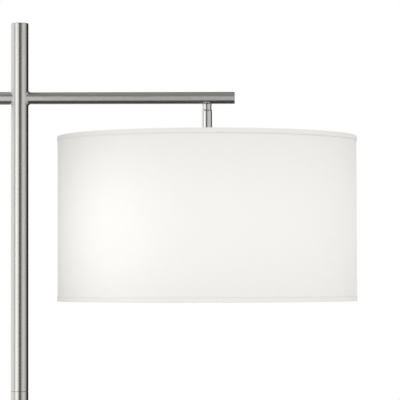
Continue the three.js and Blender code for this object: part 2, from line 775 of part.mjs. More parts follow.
function hubLockNut() {
  const top = HUB_BOTTOM - FIT;
  return piece("hub_lock_nut", hexNut(NUT_ACROSS, NIPPLE_CLEAR_R, top - NUT_HEIGHT, top), "steel");
}

// ---------------------------------------------------------------- cluster

const LID_BOTTOM = CLUSTER_Z + CLUSTER_TOP + FIT;
const CLUSTER_NUT_TOP = LID_BOTTOM - FIT;
const CLUSTER_NUT_BOTTOM = CLUSTER_NUT_TOP - NUT_HEIGHT;

/** Threaded tube that carries the shade's hub and the cluster below the stem. */
function dropTube() {
  const low = CLUSTER_NUT_BOTTOM - NIPPLE_BELOW_NUT;
  const high = STEM_BOTTOM + THREAD_ENGAGEMENT;
  return piece("drop_tube", tube(NIPPLE_R, NIPPLE_BORE / 2, low, high, SMALL), "steel");
}

function clusterLid() {
  const lid = tube(CLUSTER_RADIUS, NIPPLE_CLEAR_R, LID_BOTTOM, LID_BOTTOM + LID_THICKNESS);
  return piece("cluster_lid", lid, "nickel");
}

function clusterLockNut() {
  const nut = hexNut(NUT_ACROSS, NIPPLE_CLEAR_R, CLUSTER_NUT_BOTTOM, CLUSTER_NUT_TOP);
  return piece("cluster_lock_nut", nut, "steel");
}

/** Open-topped cup with a hole on each side for a socket and one below for the switch. */
function clusterCup() {
  const floor = CLUSTER_BOTTOM + CLUSTER_WALL;
  const inner = CLUSTER_RADIUS - CLUSTER_WALL;
  const cup = turned([
    [BUSHING_RADIUS + FIT, CLUSTER_BOTTOM],
    [CLUSTER_RADIUS, CLUSTER_BOTTOM],
    [CLUSTER_RADIUS, CLUSTER_TOP],
    [inner, CLUSTER_TOP],
    [inner, floor],
    [BUSHING_RADIUS + FIT, floor],
  ]);
  const sideHoles = crossBar(NIPPLE_CLEAR_R, -CLUSTER_RADIUS * 2, CLUSTER_RADIUS * 2, SMALL);
  sideHoles.rotateZ(THREE.MathUtils.degToRad(BULB_DIRECTION));
  return piece("cluster_cup", cut(cup, sideHoles).translate(0, 0, CLUSTER_Z), "nickel");
}

/** Lead from the tongue down the stem and the drop tube into the cluster. */
function stemLead() {
  const low = CLUSTER_NUT_BOTTOM - NIPPLE_BELOW_NUT - FIT;
  return piece("stem_lead", bar(LEAD_R, low, TONGUE_TOP - FIT, LEAD_SIDES), "lead");
}

// Distances along a socket's own axis, from the axis of the stem outwards
const CAP_START = CLUSTER_RADIUS + FIT;
const SHELL_START = CAP_START + SOCKET_CAP_LENGTH + FIT;
const SHELL_END = SHELL_START + SOCKET_SHELL_LENGTH;
const CORE_LOW = CAP_START + CORE_START;
const CONTACT_LOW = CORE_LOW + CORE_BACK + FIT;
const SCREW_END = CONTACT_LOW + CONTACT_HEIGHT + SCREW_LENGTH;
const BULB_TIP = CONTACT_LOW + BULB_LENGTH;
const NECK_RADIUS = SCREW_RADIUS - SCREW_WALL - FIT;

function socketNipple() {
  const low = CLUSTER_RADIUS - BUSHING_LENGTH;
  return tube(NIPPLE_R, NIPPLE_BORE / 2, low, CORE_LOW - FIT, SMALL);
}

function socketCap() {
  const end = CAP_START + SOCKET_CAP_LENGTH;
  return turned([
    [NIPPLE_CLEAR_R, CAP_START],
    [SOCKET_RADIUS - SOCKET_WALL, CAP_START],
    [SOCKET_RADIUS, CAP_START + SOCKET_WALL],
    [SOCKET_RADIUS, end],
    [SOCKET_RADIUS - SOCKET_WALL, end],
    [SOCKET_RADIUS - SOCKET_WALL, CAP_START + SOCKET_WALL],
    [NIPPLE_CLEAR_R, CAP_START + SOCKET_WALL],
  ]);
}

function socketShell() {
  return tube(SOCKET_RADIUS, SOCKET_RADIUS - SOCKET_WALL, SHELL_START, SHELL_END);
}

/** Porcelain lamp holder with a cavity for the bulb's screw shell. */
function socketCore() {
  const outer = SOCKET_RADIUS - SOCKET_WALL - FIT;
  const end = SHELL_END - CORE_SETBACK;
  const cavity = SCREW_RADIUS + FIT;
  const floor = CORE_LOW + CORE_BACK;
  return turned([
    [0, CORE_LOW],
    [outer, CORE_LOW],
    [outer, end],
    [cavity, end],
    [cavity, floor],
    [0, floor],
  ]);
}

/** Screw shell of the bulb, open at the glass's end. */
function bulbScrew() {
  const low = CONTACT_LOW + CONTACT_HEIGHT;
  const inner = SCREW_RADIUS - SCREW_WALL;
  return turned([
    [0, CONTACT_LOW],
    [CONTACT_RADIUS, CONTACT_LOW],
    [SCREW_RADIUS, low],
    [SCREW_RADIUS, SCREW_END],
    [inner, SCREW_END],
    [inner, low + SCREW_WALL],
    [0, low + SCREW_WALL],
  ], SMALL);
}

/** Profile of the glass: a straight neck, a flare and a round end, inset by a thickness. */
function glassProfile(inset) {
  const centre = BULB_TIP - BULB_RADIUS;
  const start = SCREW_END + BULB_NECK_LENGTH;
  const flare = new THREE.CubicBezierCurve(
    new THREE.Vector2(NECK_RADIUS - inset, start),
    new THREE.Vector2(NECK_RADIUS - inset, start + (centre - start) * 0.4),
    new THREE.Vector2(BULB_RADIUS - inset, centre - (centre - start) * 0.5),
    new THREE.Vector2(BULB_RADIUS - inset, centre),
  );
  const flared = flare.getPoints(ARC_STEPS + 1).map(({ x, y }) => [x, y]);
  const end = arc(0, centre, BULB_RADIUS - inset, 0, 90, ARC_STEPS + 1).slice(1, -1);
  return [[NECK_RADIUS - inset, SCREW_END - BULB_NECK_INSERT], ...flared, ...end, [0, BULB_TIP - inset]];
}

/** Hollow glass, open at its neck. */
function bulbGlass() {
  return turned([...glassProfile(BULB_GLASS).reverse(), ...glassProfile(0)], SMALL);
}

/** A socket and its bulb, laid out along +X and turned to the bulb's direction. */
function socketAndBulb(number) {
  const pieces = [
    ["socket_nipple", socketNipple(), "steel"],
    ["socket_cap", socketCap(), "nickel"],
    ["socket_shell", socketShell(), "nickel"],
    ["socket_core", socketCore(), "porcelain"],
    ["bulb_screw", bulbScrew(), "brass"],
    ["bulb_glass", bulbGlass(), "glass"],
  ];
  const group = new THREE.Group();
  for (const [name, geometry, finish] of pieces) {
    group.add(piece(`${name}_${number + 1}`, geometry.rotateY(Math.PI / 2), finish));
  }
  group.position.z = CLUSTER_Z;
  group.rotation.z = THREE.MathUtils.degToRad(BULB_DIRECTION + 180 * number);
  return group;
}

// ---------------------------------------------------------------- switch
// Heights here are in the hanger's frame.

const CUP_UNDERSIDE = CLUSTER_Z + CLUSTER_BOTTOM;
const SWITCH_BOTTOM = CUP_UNDERSIDE + CLUSTER_WALL + FIT;
const SHAFT_TOP = SWITCH_BOTTOM + SHAFT_ENGAGEMENT;
const KNOB_TOP = CUP_UNDERSIDE - BUSHING_LENGTH - RUN;

/** Rotary switch inside the cup, with a bushing through the cup's floor. */
function switchBody() {
  const shaftHole = SHAFT_RADIUS + RUN;
  const low = CUP_UNDERSIDE - BUSHING_LENGTH;
  const body = turned([
    [0, SHAFT_TOP + RUN],
    [shaftHole, SHAFT_TOP + RUN],
    [shaftHole, low],
    [BUSHING_RADIUS, low],
    [BUSHING_RADIUS, SWITCH_BOTTOM],
    [SWITCH_RADIUS, SWITCH_BOTTOM],
    [SWITCH_RADIUS, SWITCH_BOTTOM + SWITCH_HEIGHT],
    [0, SWITCH_BOTTOM + SWITCH_HEIGHT],
  ], SMALL);
  return piece("switch_body", body, "black");
}

function switchRingNut() {
  const top = CUP_UNDERSIDE - FIT;
  const nut = tube(RING_NUT_RADIUS, BUSHING_RADIUS + FIT, top - RING_NUT_HEIGHT, top, SMALL);
  return piece("switch_ring_nut", nut, "nickel");
}

function switchShaft() {
  return piece("switch_shaft", bar(SHAFT_RADIUS, SHAFT_TOP - SHAFT_LENGTH, SHAFT_TOP, SMALL), "steel");
}

/** Turn knob with a blind bore for the shaft. */
function switchKnob() {
  const low = KNOB_TOP - KNOB_HEIGHT;
  const bore = SHAFT_RADIUS + FIT;
  const boreEnd = SHAFT_TOP - SHAFT_LENGTH - FIT;
  const knob = turned([
    [0, low],
    [KNOB_RADIUS - KNOB_EDGE, low],
    [KNOB_RADIUS, low + KNOB_EDGE],
    [KNOB_RADIUS, KNOB_TOP],
    [bore, KNOB_TOP],
    [bore, boreEnd],
    [0, boreEnd],
  ], SMALL);
  return piece("switch_knob", knob, "black");
}

// ---------------------------------------------------------------- assembly

function stand() {
  const group = new THREE.Group();
  group.add(basePad(), baseWeight(), baseCover(), cordGland(), baseNipple(), baseWasher(), baseLockNut());
  group.add(poleFoot(), poleSection("pole_lower", FOOT_Z, FIRST_SEAM));
  group.add(poleSection("pole_middle", FIRST_SEAM + FIT, SECOND_SEAM), upperPole(), poleTopPlug());
  group.add(poleCoupler("pole_coupler_1", FIRST_SEAM), poleCoupler("pole_coupler_2", SECOND_SEAM));
  group.add(internalLead());
  return group;
}

function cross() {
  const group = new THREE.Group();
  group.add(crossArm(), endPlug("arm_end_plug", ARM_BORE_R, ARM_REACH), crossStub(), stubEndPlug());
  group.position.z = ARM_Z;
  return group;
}

function hanger() {
  const group = new THREE.Group();
  group.add(armSwivelNut(), swivelCollar(), swivelNeck(), swivelTongue(), stemTube(), stemLead());
  group.add(pivotScrew("pivot_screw_right", 0), pivotScrew("pivot_screw_left", Math.PI));
  group.add(wallLayer("shade_fabric", FABRIC_R, FABRIC_THICKNESS, "fabric"));
  group.add(wallLayer("shade_liner", LINER_R, LINER_THICKNESS, "liner"));
  group.add(edgeTrim("shade_trim_top", SHADE_TOP, 1), edgeTrim("shade_trim_bottom", SHADE_BOTTOM, -1));
  group.add(wireRing("shade_ring_top", SHADE_TOP - WIRE_INSET));
  group.add(wireRing("shade_ring_bottom", SHADE_BOTTOM + WIRE_INSET));
  group.add(spiderHub(), checkRing(), hubLockNut(), dropTube());
  for (let number = 0; number < SPIDER_ARMS; number += 1) {
    group.add(spiderArm(number));
  }
  group.add(clusterLid(), clusterLockNut(), clusterCup(), socketAndBulb(0), socketAndBulb(1));
  group.add(switchBody(), switchRingNut(), switchShaft(), switchKnob());
  group.position.set(STEM_X, 0, ARM_Z);
  return group;
}

const lamp = new THREE.Group();
lamp.add(stand(), cross(), hanger());

export default lamp;
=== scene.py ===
"""The looks of a floor lamp whose drum shade hangs from a cross arm.

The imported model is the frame: every place and size comes from its nodes, with +Z up, +X along
the arm towards the shade and the origin under the pole. This file makes the surfaces that show
as numpy grids, dresses them in procedural finishes and lights them in a plain studio. The
assemblies' own sizes are in millimetres, and meshes, materials and the studio are in metres.
"""

import logging
import math
from collections.abc import Callable, Sequence
from dataclasses import dataclass
from enum import Enum
from functools import cache

import bpy
import numpy as np
from mathutils import Matrix, Vector


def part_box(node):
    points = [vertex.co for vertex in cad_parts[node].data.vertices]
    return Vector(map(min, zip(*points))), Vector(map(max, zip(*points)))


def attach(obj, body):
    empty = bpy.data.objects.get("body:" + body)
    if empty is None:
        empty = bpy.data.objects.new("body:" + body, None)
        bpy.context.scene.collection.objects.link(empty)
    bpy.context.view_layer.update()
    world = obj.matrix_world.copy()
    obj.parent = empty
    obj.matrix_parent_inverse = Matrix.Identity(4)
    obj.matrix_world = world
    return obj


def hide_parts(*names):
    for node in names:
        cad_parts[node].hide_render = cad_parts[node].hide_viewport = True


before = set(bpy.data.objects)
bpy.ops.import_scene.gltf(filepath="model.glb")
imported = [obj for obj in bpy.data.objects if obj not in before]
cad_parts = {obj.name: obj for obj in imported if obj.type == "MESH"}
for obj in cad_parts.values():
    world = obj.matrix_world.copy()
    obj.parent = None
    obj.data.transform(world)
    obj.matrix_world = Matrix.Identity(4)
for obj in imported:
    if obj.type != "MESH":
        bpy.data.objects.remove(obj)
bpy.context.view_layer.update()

log = logging.getLogger("lamp")

Array = np.ndarray
Point = tuple[float, float, float]
Socket = bpy.types.NodeSocket
Ripple = Callable[[Array, Array], Array]

MM = 0.001
X_AXIS, Y_AXIS, Z_AXIS = (1.0, 0.0, 0.0), (0.0, 1.0, 0.0), (0.0, 0.0, 1.0)
UV_NAME = "surface"
SHARP_ANGLE = math.radians(38)


class Body(Enum):
    """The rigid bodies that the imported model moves."""

    STAND = "root"
    SWIVEL = "swivel"
    HEAD = "lamp_head"
    KNOB = "knob"


class Grain(Enum):
    """The line along which a brushed surface changes: each stroke lies across it."""

    UPRIGHT = "z"
    ALONG_ARM = "x"
    SPUN = "radius"


# ---------------------------------------------------------------- surfaces


def unit(vectors: Array) -> Array:
    """Vectors scaled to length one, with a vector of no length left as it is."""
    length = np.linalg.norm(vectors, axis=-1, keepdims=True)
    return vectors / np.where(length < 1e-12, 1.0, length)


@dataclass(frozen=True)
class Axis:
    """A line that shapes are turned about, with the direction of angle zero."""

    origin: Point
    along: Point = Z_AXIS
    zero: Point = X_AXIS

    def at(self, radius: Array, angle: Array, height: Array) -> Array:
        """Points at cylindrical coordinates: origin + radius (cos, sin) + height along the axis."""
        along, zero = np.array(self.along), np.array(self.zero)
        across = np.cross(along, zero)
        spoke = np.cos(angle)[..., None] * zero + np.sin(angle)[..., None] * across
        return np.array(self.origin) + radius[..., None] * spoke + height[..., None] * along


def enclosed(points: Array, faces: Sequence[Array]) -> float:
    """Volume inside closed faces: a sum of tetrahedra on the origin, positive if they face out."""
    total = 0.0
    for block in faces:
        for i in range(1, block.shape[1] - 1):
            a, b, c = points[block[:, 0]], points[block[:, i]], points[block[:, i + 1]]
            total += float((a * np.cross(b, c)).sum())
    return total / 6


def make_piece(name: str, points: Array, faces: list[Array], uvs: list[Array]) -> bpy.types.Object:
    """Makes an object of a closed surface, faces pointing out and edges shaded by their angle.

    Args:
        name: The object's name.
        points: Vertex positions, (n, 3), in the lamp's frame.
        faces: Blocks of triangles or quads, as vertex numbers.
        uvs: For each block, the surface coordinates of each face's corners.

    Returns:
        The object, at the origin, linked to the scene.
    """
    if enclosed(points - points.mean(0), faces) < 0:
        faces = [block[:, ::-1] for block in faces]
        uvs = [block[:, ::-1] for block in uvs]
    mesh = bpy.data.meshes.new(name)
    mesh.from_pydata(points.tolist(), [], [face for block in faces for face in block.tolist()])
    layer = mesh.uv_layers.new(name=UV_NAME)
    flat = np.concatenate([block.reshape(-1) for block in uvs])
    layer.data.foreach_set("uv", flat.astype(np.float32))
    mesh.shade_smooth()
    mesh.set_sharp_from_angle(angle=SHARP_ANGLE)
    mesh.validate()
    piece = bpy.data.objects.new(name, mesh)
    bpy.context.scene.collection.objects.link(piece)
    return piece


def woven(name: str, grid: Array, on_axis: Array, lengths: Array) -> bpy.types.Object:
    """Makes a piece from a grid of points that wraps in both directions.

    Args:
        name: The object's name.
        grid: Points, (rows, columns, 3); the last row joins the first, and so do the columns.
        on_axis: For each row, True if all its points are one, at a pole.
        lengths: For each row, the distance along the outline, which becomes the first coordinate.

    Returns:
        The closed object.
    """
    rows, columns = grid.shape[:2]
    number = np.arange(rows * columns).reshape(rows, columns)
    number[on_axis] = number[on_axis][:, :1]
    used, compact = np.unique(number, return_inverse=True)
    number = compact.reshape(rows, columns)
    points = grid.reshape(-1, 3)[used]
    here, there = np.arange(columns), (np.arange(columns) + 1) % columns
    turn, turned = here / columns, (here + 1) / columns
    quads, quad_uvs, fans, fan_uvs = [], [], [], []
    for row in range(rows):
        after = (row + 1) % rows
        start = np.full(columns, lengths[row])
        end = np.full(columns, lengths[after] if after else lengths[-1] + MM)
        a, b = number[row, here], number[row, there]
        c, d = number[after, there], number[after, here]
        corners = (start, turn), (start, turned), (end, turned), (end, turn)
        uv = [np.stack(pair, -1) for pair in corners]
        if on_axis[row] and on_axis[after]:
            continue
        if on_axis[row]:
            fans.append(np.stack([a, c, d], -1))
            fan_uvs.append(np.stack([uv[0], uv[2], uv[3]], 1))
        elif on_axis[after]:
            fans.append(np.stack([a, b, c], -1))
            fan_uvs.append(np.stack([uv[0], uv[1], uv[2]], 1))
        else:
            quads.append(np.stack([a, b, c, d], -1))
            quad_uvs.append(np.stack(uv, 1))
    blocks = [np.concatenate(group) for group in (quads, fans) if group]
    uvs = [np.concatenate(group) for group in (quad_uvs, fan_uvs) if group]
    return make_piece(name, points, blocks, uvs)


def outline_lengths(outline: Array) -> Array:
    """Distance along an outline at each of its points, from the first."""
    steps = np.linalg.norm(np.diff(outline, axis=0), axis=1)
    return np.concatenate([[0.0], np.cumsum(steps)])


def revolve(
    name: str,
    outline: Array,
    axis: Axis,
    sides: int = 96,
    ripple: Ripple | None = None,
) -> bpy.types.Object:
    """Turns a closed outline about an axis: a point at angle a is axis.at(radius, a, height).

    Args:
        name: The object's name.
        outline: Radius and height of each point, in metres, round the section once.
        axis: The axis of revolution.
        sides: Columns round the axis.
        ripple: Gives what is added to the radius at each angle and height, for threads and flutes.

    Returns:
        The closed object.
    """
    angle = np.linspace(0, 2 * np.pi, sides, endpoint=False)[None, :]
    radius, height = outline[:, :1], outline[:, 1:]
    angle, radius, height = np.broadcast_arrays(angle, radius, height)
    if ripple is not None:
        radius = np.where(radius > 1e-9, np.maximum(radius + ripple(angle, height), 0.05 * MM), 0.0)
    on_axis = outline[:, 0] < 1e-9
    return woven(name, axis.at(radius, angle, height), on_axis, outline_lengths(outline))


def soft_outline(corners: Sequence[Sequence[float]], steps: int = 6) -> Array:
    """Closed outline through corners (radius, height, rounding) in millimetres.

    A rounding is an arc that touches both sides of its corner: its centre is on the bisector, at
    rounding / sin(half the corner's angle). A point stands just before and after each arc, so the
    flat stretches keep flat shading.

    Args:
        corners: Each corner's radius, height and rounding.
        steps: Steps in each arc.

    Returns:
        Points of the outline, in metres.
    """
    given = np.array(corners, float) * MM
    points, rounding = given[:, :2], given[:, 2]
    before, after = unit(np.roll(points, 1, 0) - points), unit(np.roll(points, -1, 0) - points)
    half = np.arccos(np.clip((before * after).sum(1), -0.999999, 0.999999)) / 2
    share = np.linspace(0, 1, steps + 1)[:, None]
    outline = []
    for corner, size, back, on, angle in zip(points, rounding, before, after, half):
        if size == 0:
            outline.append(corner[None])
            continue
        centre = corner + unit(back + on) * size / math.sin(angle)
        start, end = corner + back * size / math.tan(angle), corner + on * size / math.tan(angle)
        sweep = math.pi - 2 * angle
        arc = centre + (
            (start - centre) * np.sin((1 - share) * sweep) + (end - centre) * np.sin(share * sweep)
        ) / math.sin(sweep)
        guard = min(0.25 * size, 0.3 * MM)
        outline += [(start + back * guard)[None], arc, (end + on * guard)[None]]
    return np.concatenate(outline)


def tube_outline(outer: float, inner: float, low: float, high: float, edge: float = 0.3) -> Array:
    """Section of a tube, in millimetres, with its outer edges rounded."""
    return soft_outline(
        [(inner, low, 0.1), (outer, low, edge), (outer, high, edge), (inner, high, 0.1)]
    )


def bar_outline(radius: float, low: float, high: float, edge: float = 0.3) -> Array:
    """Section of a round bar, in millimetres, with its edges rounded."""
    return soft_outline([(0, low, 0), (radius, low, edge), (radius, high, edge), (0, high, 0)])


def carry(name: str, section: Array, path: Array, binormal: Point, loop: bool) -> bpy.types.Object:
    """Carries a closed section along a path that lies in a plane.

    The point at section (s, t) and path point p is p + s n + t b, where b is the plane's normal
    and n is b crossed with the path's direction. An open path is closed with a point at each end.

    Args:
        name: The object's name.
        section: Offsets in and out of the plane's direction, in metres.
        path: Points of the path, in metres.
        binormal: The normal of the plane that holds the path.
        loop: True if the path joins its own start.

    Returns:
        The closed object.
    """
    if loop:
        tangent = unit(np.roll(path, -1, 0) - np.roll(path, 1, 0))
    else:
        tangent = unit(np.gradient(path, axis=0))
    lift = np.array(binormal)
    side = unit(np.cross(lift, tangent))
    grid = path[:, None] + side[:, None] * section[None, :, :1] + lift * section[None, :, 1:]
    lengths = outline_lengths(path)
    on_axis = np.zeros(len(path), bool)
    if not loop:
        ends = np.broadcast_to(path[[0, -1], None], (2, *grid.shape[1:]))
        grid = np.concatenate([ends[:1], grid, ends[1:]])
        on_axis = np.array([True, *on_axis, True])
        lengths = np.array([lengths[0], *lengths, lengths[-1]])
    return woven(name, grid, on_axis, lengths)


def upright_rows(radius: float, height: Array) -> Array:
    """Outline of a straight wall: one radius at each of some heights."""
    return np.stack([np.full(height.shape, radius), height], -1)


def circle(radius: float, sides: int = 16) -> Array:
    """A round section of a radius in metres."""
    angle = np.linspace(0, 2 * np.pi, sides, endpoint=False)
    return radius * np.stack([np.cos(angle), np.sin(angle)], -1)


def helix_ripple(depth: float, pitch: float) -> Ripple:
    """A thread: the radius gains depth times the cosine of the height in turns less the angle."""
    return lambda angle, height: depth * MM * np.cos(2 * np.pi * height / (pitch * MM) - angle)


def fluted_ripple(depth: float, count: int) -> Ripple:
    """Flutes or knurls: the radius gains depth times the cosine of their count times the angle."""
    return lambda angle, height: depth * MM * np.cos(count * angle)


def hexagon_ripple(across: float, chamfer: float, low: float, high: float) -> Ripple:
    """A hexagon: a side's radius is its apothem over the cosine of the angle from its middle.

    The corners are cut back to a cone near each end, which is what a chamfer leaves on a nut.
    """
    corner = across / 2 * MM
    apothem = corner * math.cos(math.pi / 6)

    def ripple(angle: Array, height: Array) -> Array:
        """What to add to the corner radius at each angle and height."""
        from_middle = np.abs((angle % (np.pi / 3)) - np.pi / 6)
        from_end = np.minimum(height - low, high - height)
        cone = apothem + np.clip(from_end / (chamfer * MM), 0, 1) * (corner - apothem) + 0.1 * MM
        return np.minimum(apothem / np.cos(from_middle), cone) - corner

    return ripple


def on_rows(ripple: Ripple, first: int, count: int) -> Ripple:
    """A ripple that only moves some of an outline's rows: a count of them from the first."""

    def limited(angle: Array, height: Array) -> Array:
        """The ripple on those rows, and nothing on the others."""
        row = np.arange(len(height))[:, None] - first
        return np.where((row >= 0) & (row < count), ripple(angle, height), 0)

    return limited


# ---------------------------------------------------------------- node graphs


class Graph:
    """A node tree with short calls that place nodes and join them."""

    def __init__(self, tree: bpy.types.NodeTree) -> None:
        """Keeps the tree."""
        self.tree = tree

    def node(self, kind: str, **settings: object) -> bpy.types.Node:
        """A new node of a kind, with its properties set."""
        made = self.tree.nodes.new(kind)
        for key, value in settings.items():
            setattr(made, key, value)
        return made

    def feed(self, socket: Socket, value: object) -> None:
        """Joins a socket to another socket, or sets its constant value."""
        if isinstance(value, bpy.types.NodeSocket):
            self.tree.links.new(value, socket)
        else:
            socket.default_value = value

    def math(self, operation: str, *values: object) -> Socket:
        """The result of a Math node."""
        made = self.node("ShaderNodeMath", operation=operation)
        for socket, value in zip(made.inputs, values):
            self.feed(socket, value)
        return made.outputs[0]

    def vector(self, operation: str, *values: object) -> Socket:
        """The vector that a Vector Math node gives."""
        made = self.node("ShaderNodeVectorMath", operation=operation)
        for socket, value in zip(made.inputs, values):
            self.feed(socket, value)
        return made.outputs["Value" if operation == "LENGTH" else "Vector"]

    def blend(self, factor: object, low: object, high: object) -> Socket:
        """A colour between two others."""
        made = self.node("ShaderNodeMix", data_type="RGBA")
        for number, value in zip((0, 6, 7), (factor, low, high)):
            self.feed(made.inputs[number], value)
        return made.outputs[2]

    def remap(
        self, value: object, low: float, high: float, new_low: float, new_high: float
    ) -> Socket:
        """A value carried from one range to another and held to it."""
        made = self.node("ShaderNodeMapRange")
        for socket, given in zip(made.inputs, (value, low, high, new_low, new_high)):
            self.feed(socket, given)
        return made.outputs[0]

    def noise(
        self, vector: object, scale: float, detail: float = 2.0, w: Socket | None = None
    ) -> Socket:
        """Noise between 0 and 1, of four dimensions where w is given."""
        made = self.node("ShaderNodeTexNoise", noise_dimensions="3D" if w is None else "4D")
        self.feed(made.inputs["Vector"], vector)
        if w is not None:
            self.feed(made.inputs["W"], w)
        made.inputs["Scale"].default_value = scale
        made.inputs["Detail"].default_value = detail
        return made.outputs[0]

    def object_place(self) -> Socket:
        """Position in the object's own coordinates."""
        return self.node("ShaderNodeTexCoord").outputs["Object"]

    def split(self, vector: Socket) -> tuple[Socket, Socket, Socket]:
        """The three parts of a vector."""
        made = self.node("ShaderNodeSeparateXYZ")
        self.feed(made.inputs[0], vector)
        return tuple(made.outputs)

    def combine(self, *parts: object) -> Socket:
        """A vector made of up to three parts."""
        made = self.node("ShaderNodeCombineXYZ")
        for socket, value in zip(made.inputs, parts):
            self.feed(socket, value)
        return made.outputs[0]

    def from_axis(self, vector: object) -> Socket:
        """Distance of a place from the upright line through the origin."""
        return self.vector("LENGTH", self.vector("MULTIPLY", vector, (1.0, 1.0, 0.0)))

    def scaled(self, vector: object, scale: object) -> Socket:
        """A vector times a number."""
        made = self.vector("SCALE", vector)
        self.feed(made.node.inputs["Scale"], scale)
        return made

    def group(self, tree: bpy.types.NodeTree, **inputs: object) -> bpy.types.Node:
        """Places a node group, with its inputs named by words joined with underscores."""
        made = self.node("ShaderNodeGroup", node_tree=tree)
        for key, value in inputs.items():
            self.feed(made.inputs[key.replace("_", " ")], value)
        return made


class Effect:
    """A node group that more than one finish uses, built once."""

    # How far yarns wander, in metres, and the scales of a slub along and across its yarn
    yarn_wander = 0.0012
    slub_scales = (18.0, 900.0)
    # The share of the way up and down in a bulb's distance, and about one over the half height
    glow_flattening = (1.0, 1.0, 0.45)
    glow_heights = (0.0, 0.0, 9.5)
    # Brushing: noise scales of strokes and bands, the bands' pace, and the roughness they span
    stroke_scale, band_scale, band_pace = 40.0, 14.0, 0.03
    band_roughness = 0.014

    @staticmethod
    def open(
        name: str, inputs: dict[str, str], outputs: dict[str, str]
    ) -> tuple[Graph, bpy.types.Node, bpy.types.Node]:
        """Starts a group.

        Args:
            name: The group's name.
            inputs: The kind of each input socket: Float, Vector or Color.
            outputs: The kind of each output socket.

        Returns:
            The graph inside, its input node and its output node.
        """
        tree = bpy.data.node_groups.new(name, "ShaderNodeTree")
        for label, kind in inputs.items():
            tree.interface.new_socket(name=label, in_out="INPUT", socket_type=f"NodeSocket{kind}")
        for label, kind in outputs.items():
            tree.interface.new_socket(name=label, in_out="OUTPUT", socket_type=f"NodeSocket{kind}")
        graph = Graph(tree)
        return graph, graph.node("NodeGroupInput"), graph.node("NodeGroupOutput")

    @classmethod
    @cache
    def brushing(cls) -> bpy.types.NodeTree:
        """Fine strokes across a line: noise that changes fast along it and slowly round it."""
        graph, given, result = cls.open(
            "brushing",
            {"Along": "Float", "Around": "Vector", "Strokes": "Float", "Roughness": "Float"},
            {"Height": "Float", "Tone": "Float", "Roughness": "Float"},
        )
        along, around = given.outputs["Along"], given.outputs["Around"]
        fine = graph.math("MULTIPLY", along, given.outputs["Strokes"])
        strokes = graph.noise(around, cls.stroke_scale, 3.0, w=fine)
        slow = graph.math("MULTIPLY", fine, cls.band_pace)
        bands = graph.noise(around, cls.band_scale, 2.0, w=slow)
        graph.feed(result.inputs["Height"], strokes)
        parts = graph.math("MULTIPLY", strokes, 0.3), graph.math("MULTIPLY", bands, 0.7)
        graph.feed(result.inputs["Tone"], graph.math("ADD", *parts))
        spread = graph.math("MULTIPLY_ADD", bands, cls.band_roughness, -cls.band_roughness / 2)
        rough = graph.math("ADD", given.outputs["Roughness"], spread)
        graph.feed(result.inputs["Roughness"], rough)
        return graph.tree

    @classmethod
    @cache
    def smudge(cls) -> bpy.types.NodeTree:
        """Soft cloudy patches, as handling and cleaning leave on a surface."""
        graph, given, result = cls.open(
            "smudge", {"Place": "Vector", "Scale": "Float", "Amount": "Float"}, {"Mask": "Float"}
        )
        clouds = graph.noise(graph.scaled(given.outputs["Place"], given.outputs["Scale"]), 1.0, 4.0)
        patches = graph.remap(clouds, 0.42, 0.72, 0.0, 1.0)
        graph.feed(result.inputs["Mask"], graph.math("MULTIPLY", patches, given.outputs["Amount"]))
        return graph.tree

    @classmethod
    @cache
    def weave(cls) -> bpy.types.NodeTree:
        """Plain weave on (round, up) coordinates in metres: crossed waves, with uneven yarns."""
        graph, given, result = cls.open(
            "weave",
            {"Round": "Float", "Up": "Float", "Yarns": "Float"},
            {"Height": "Float", "Slub": "Float"},
        )
        turn, up, yarns = (given.outputs[key] for key in ("Round", "Up", "Yarns"))
        place = graph.combine(turn, up)
        wander = graph.math("MULTIPLY", graph.noise(place, 90.0, 1.0), cls.yarn_wander)
        waves, slubs = [], []
        for way in (turn, up):
            yarn = graph.math("MULTIPLY", graph.math("ADD", way, wander), yarns)
            waves.append(graph.math("SINE", graph.math("MULTIPLY", yarn, math.pi)))
        long, short = cls.slub_scales
        for scale in ((long, short, 1.0), (short, long, 1.0)):
            drawn = graph.node("ShaderNodeMapping")
            graph.feed(drawn.inputs["Vector"], place)
            drawn.inputs["Scale"].default_value = scale
            slubs.append(graph.math("MULTIPLY", graph.noise(drawn.outputs[0], 1.0, 1.0), 0.5))
        over = graph.math("ABSOLUTE", graph.math("MULTIPLY", *waves))
        graph.feed(result.inputs["Height"], over)
        graph.feed(result.inputs["Slub"], graph.math("ADD", *slubs))
        return graph.tree

    @classmethod
    @cache
    def glow(cls) -> bpy.types.NodeTree:
        """Light of two bulbs on a shade: for each, the nearest distance over the distance, squared.

        Distances up and down count for less, since the liner scatters the light. It fades by an
        amount times the square of the height from the bulbs, in units of about the half height.
        """
        graph, given, result = cls.open(
            "glow",
            {
                "Place": "Vector", "First": "Vector", "Second": "Vector",
                "Nearest": "Float", "Base": "Float", "Gain": "Float", "Fade": "Float",
            },
            {"Light": "Float"},
        )
        nearest = graph.math("MULTIPLY", given.outputs["Nearest"], given.outputs["Nearest"])
        lights = []
        for bulb in ("First", "Second"):
            way = graph.vector("SUBTRACT", given.outputs["Place"], given.outputs[bulb])
            far = graph.vector("LENGTH", graph.vector("MULTIPLY", way, cls.glow_flattening))
            lights.append(graph.math("DIVIDE", nearest, graph.math("MULTIPLY", far, far)))
        both = graph.math("ADD", *lights)
        light = graph.math("MULTIPLY_ADD", both, given.outputs["Gain"], given.outputs["Base"])
        up = graph.vector("LENGTH", graph.vector("MULTIPLY", way, cls.glow_heights))
        faded = graph.math("MULTIPLY", graph.math("MULTIPLY", up, up), given.outputs["Fade"])
        graph.feed(result.inputs["Light"], graph.math("SUBTRACT", light, faded))
        return graph.tree


# ---------------------------------------------------------------- finishes


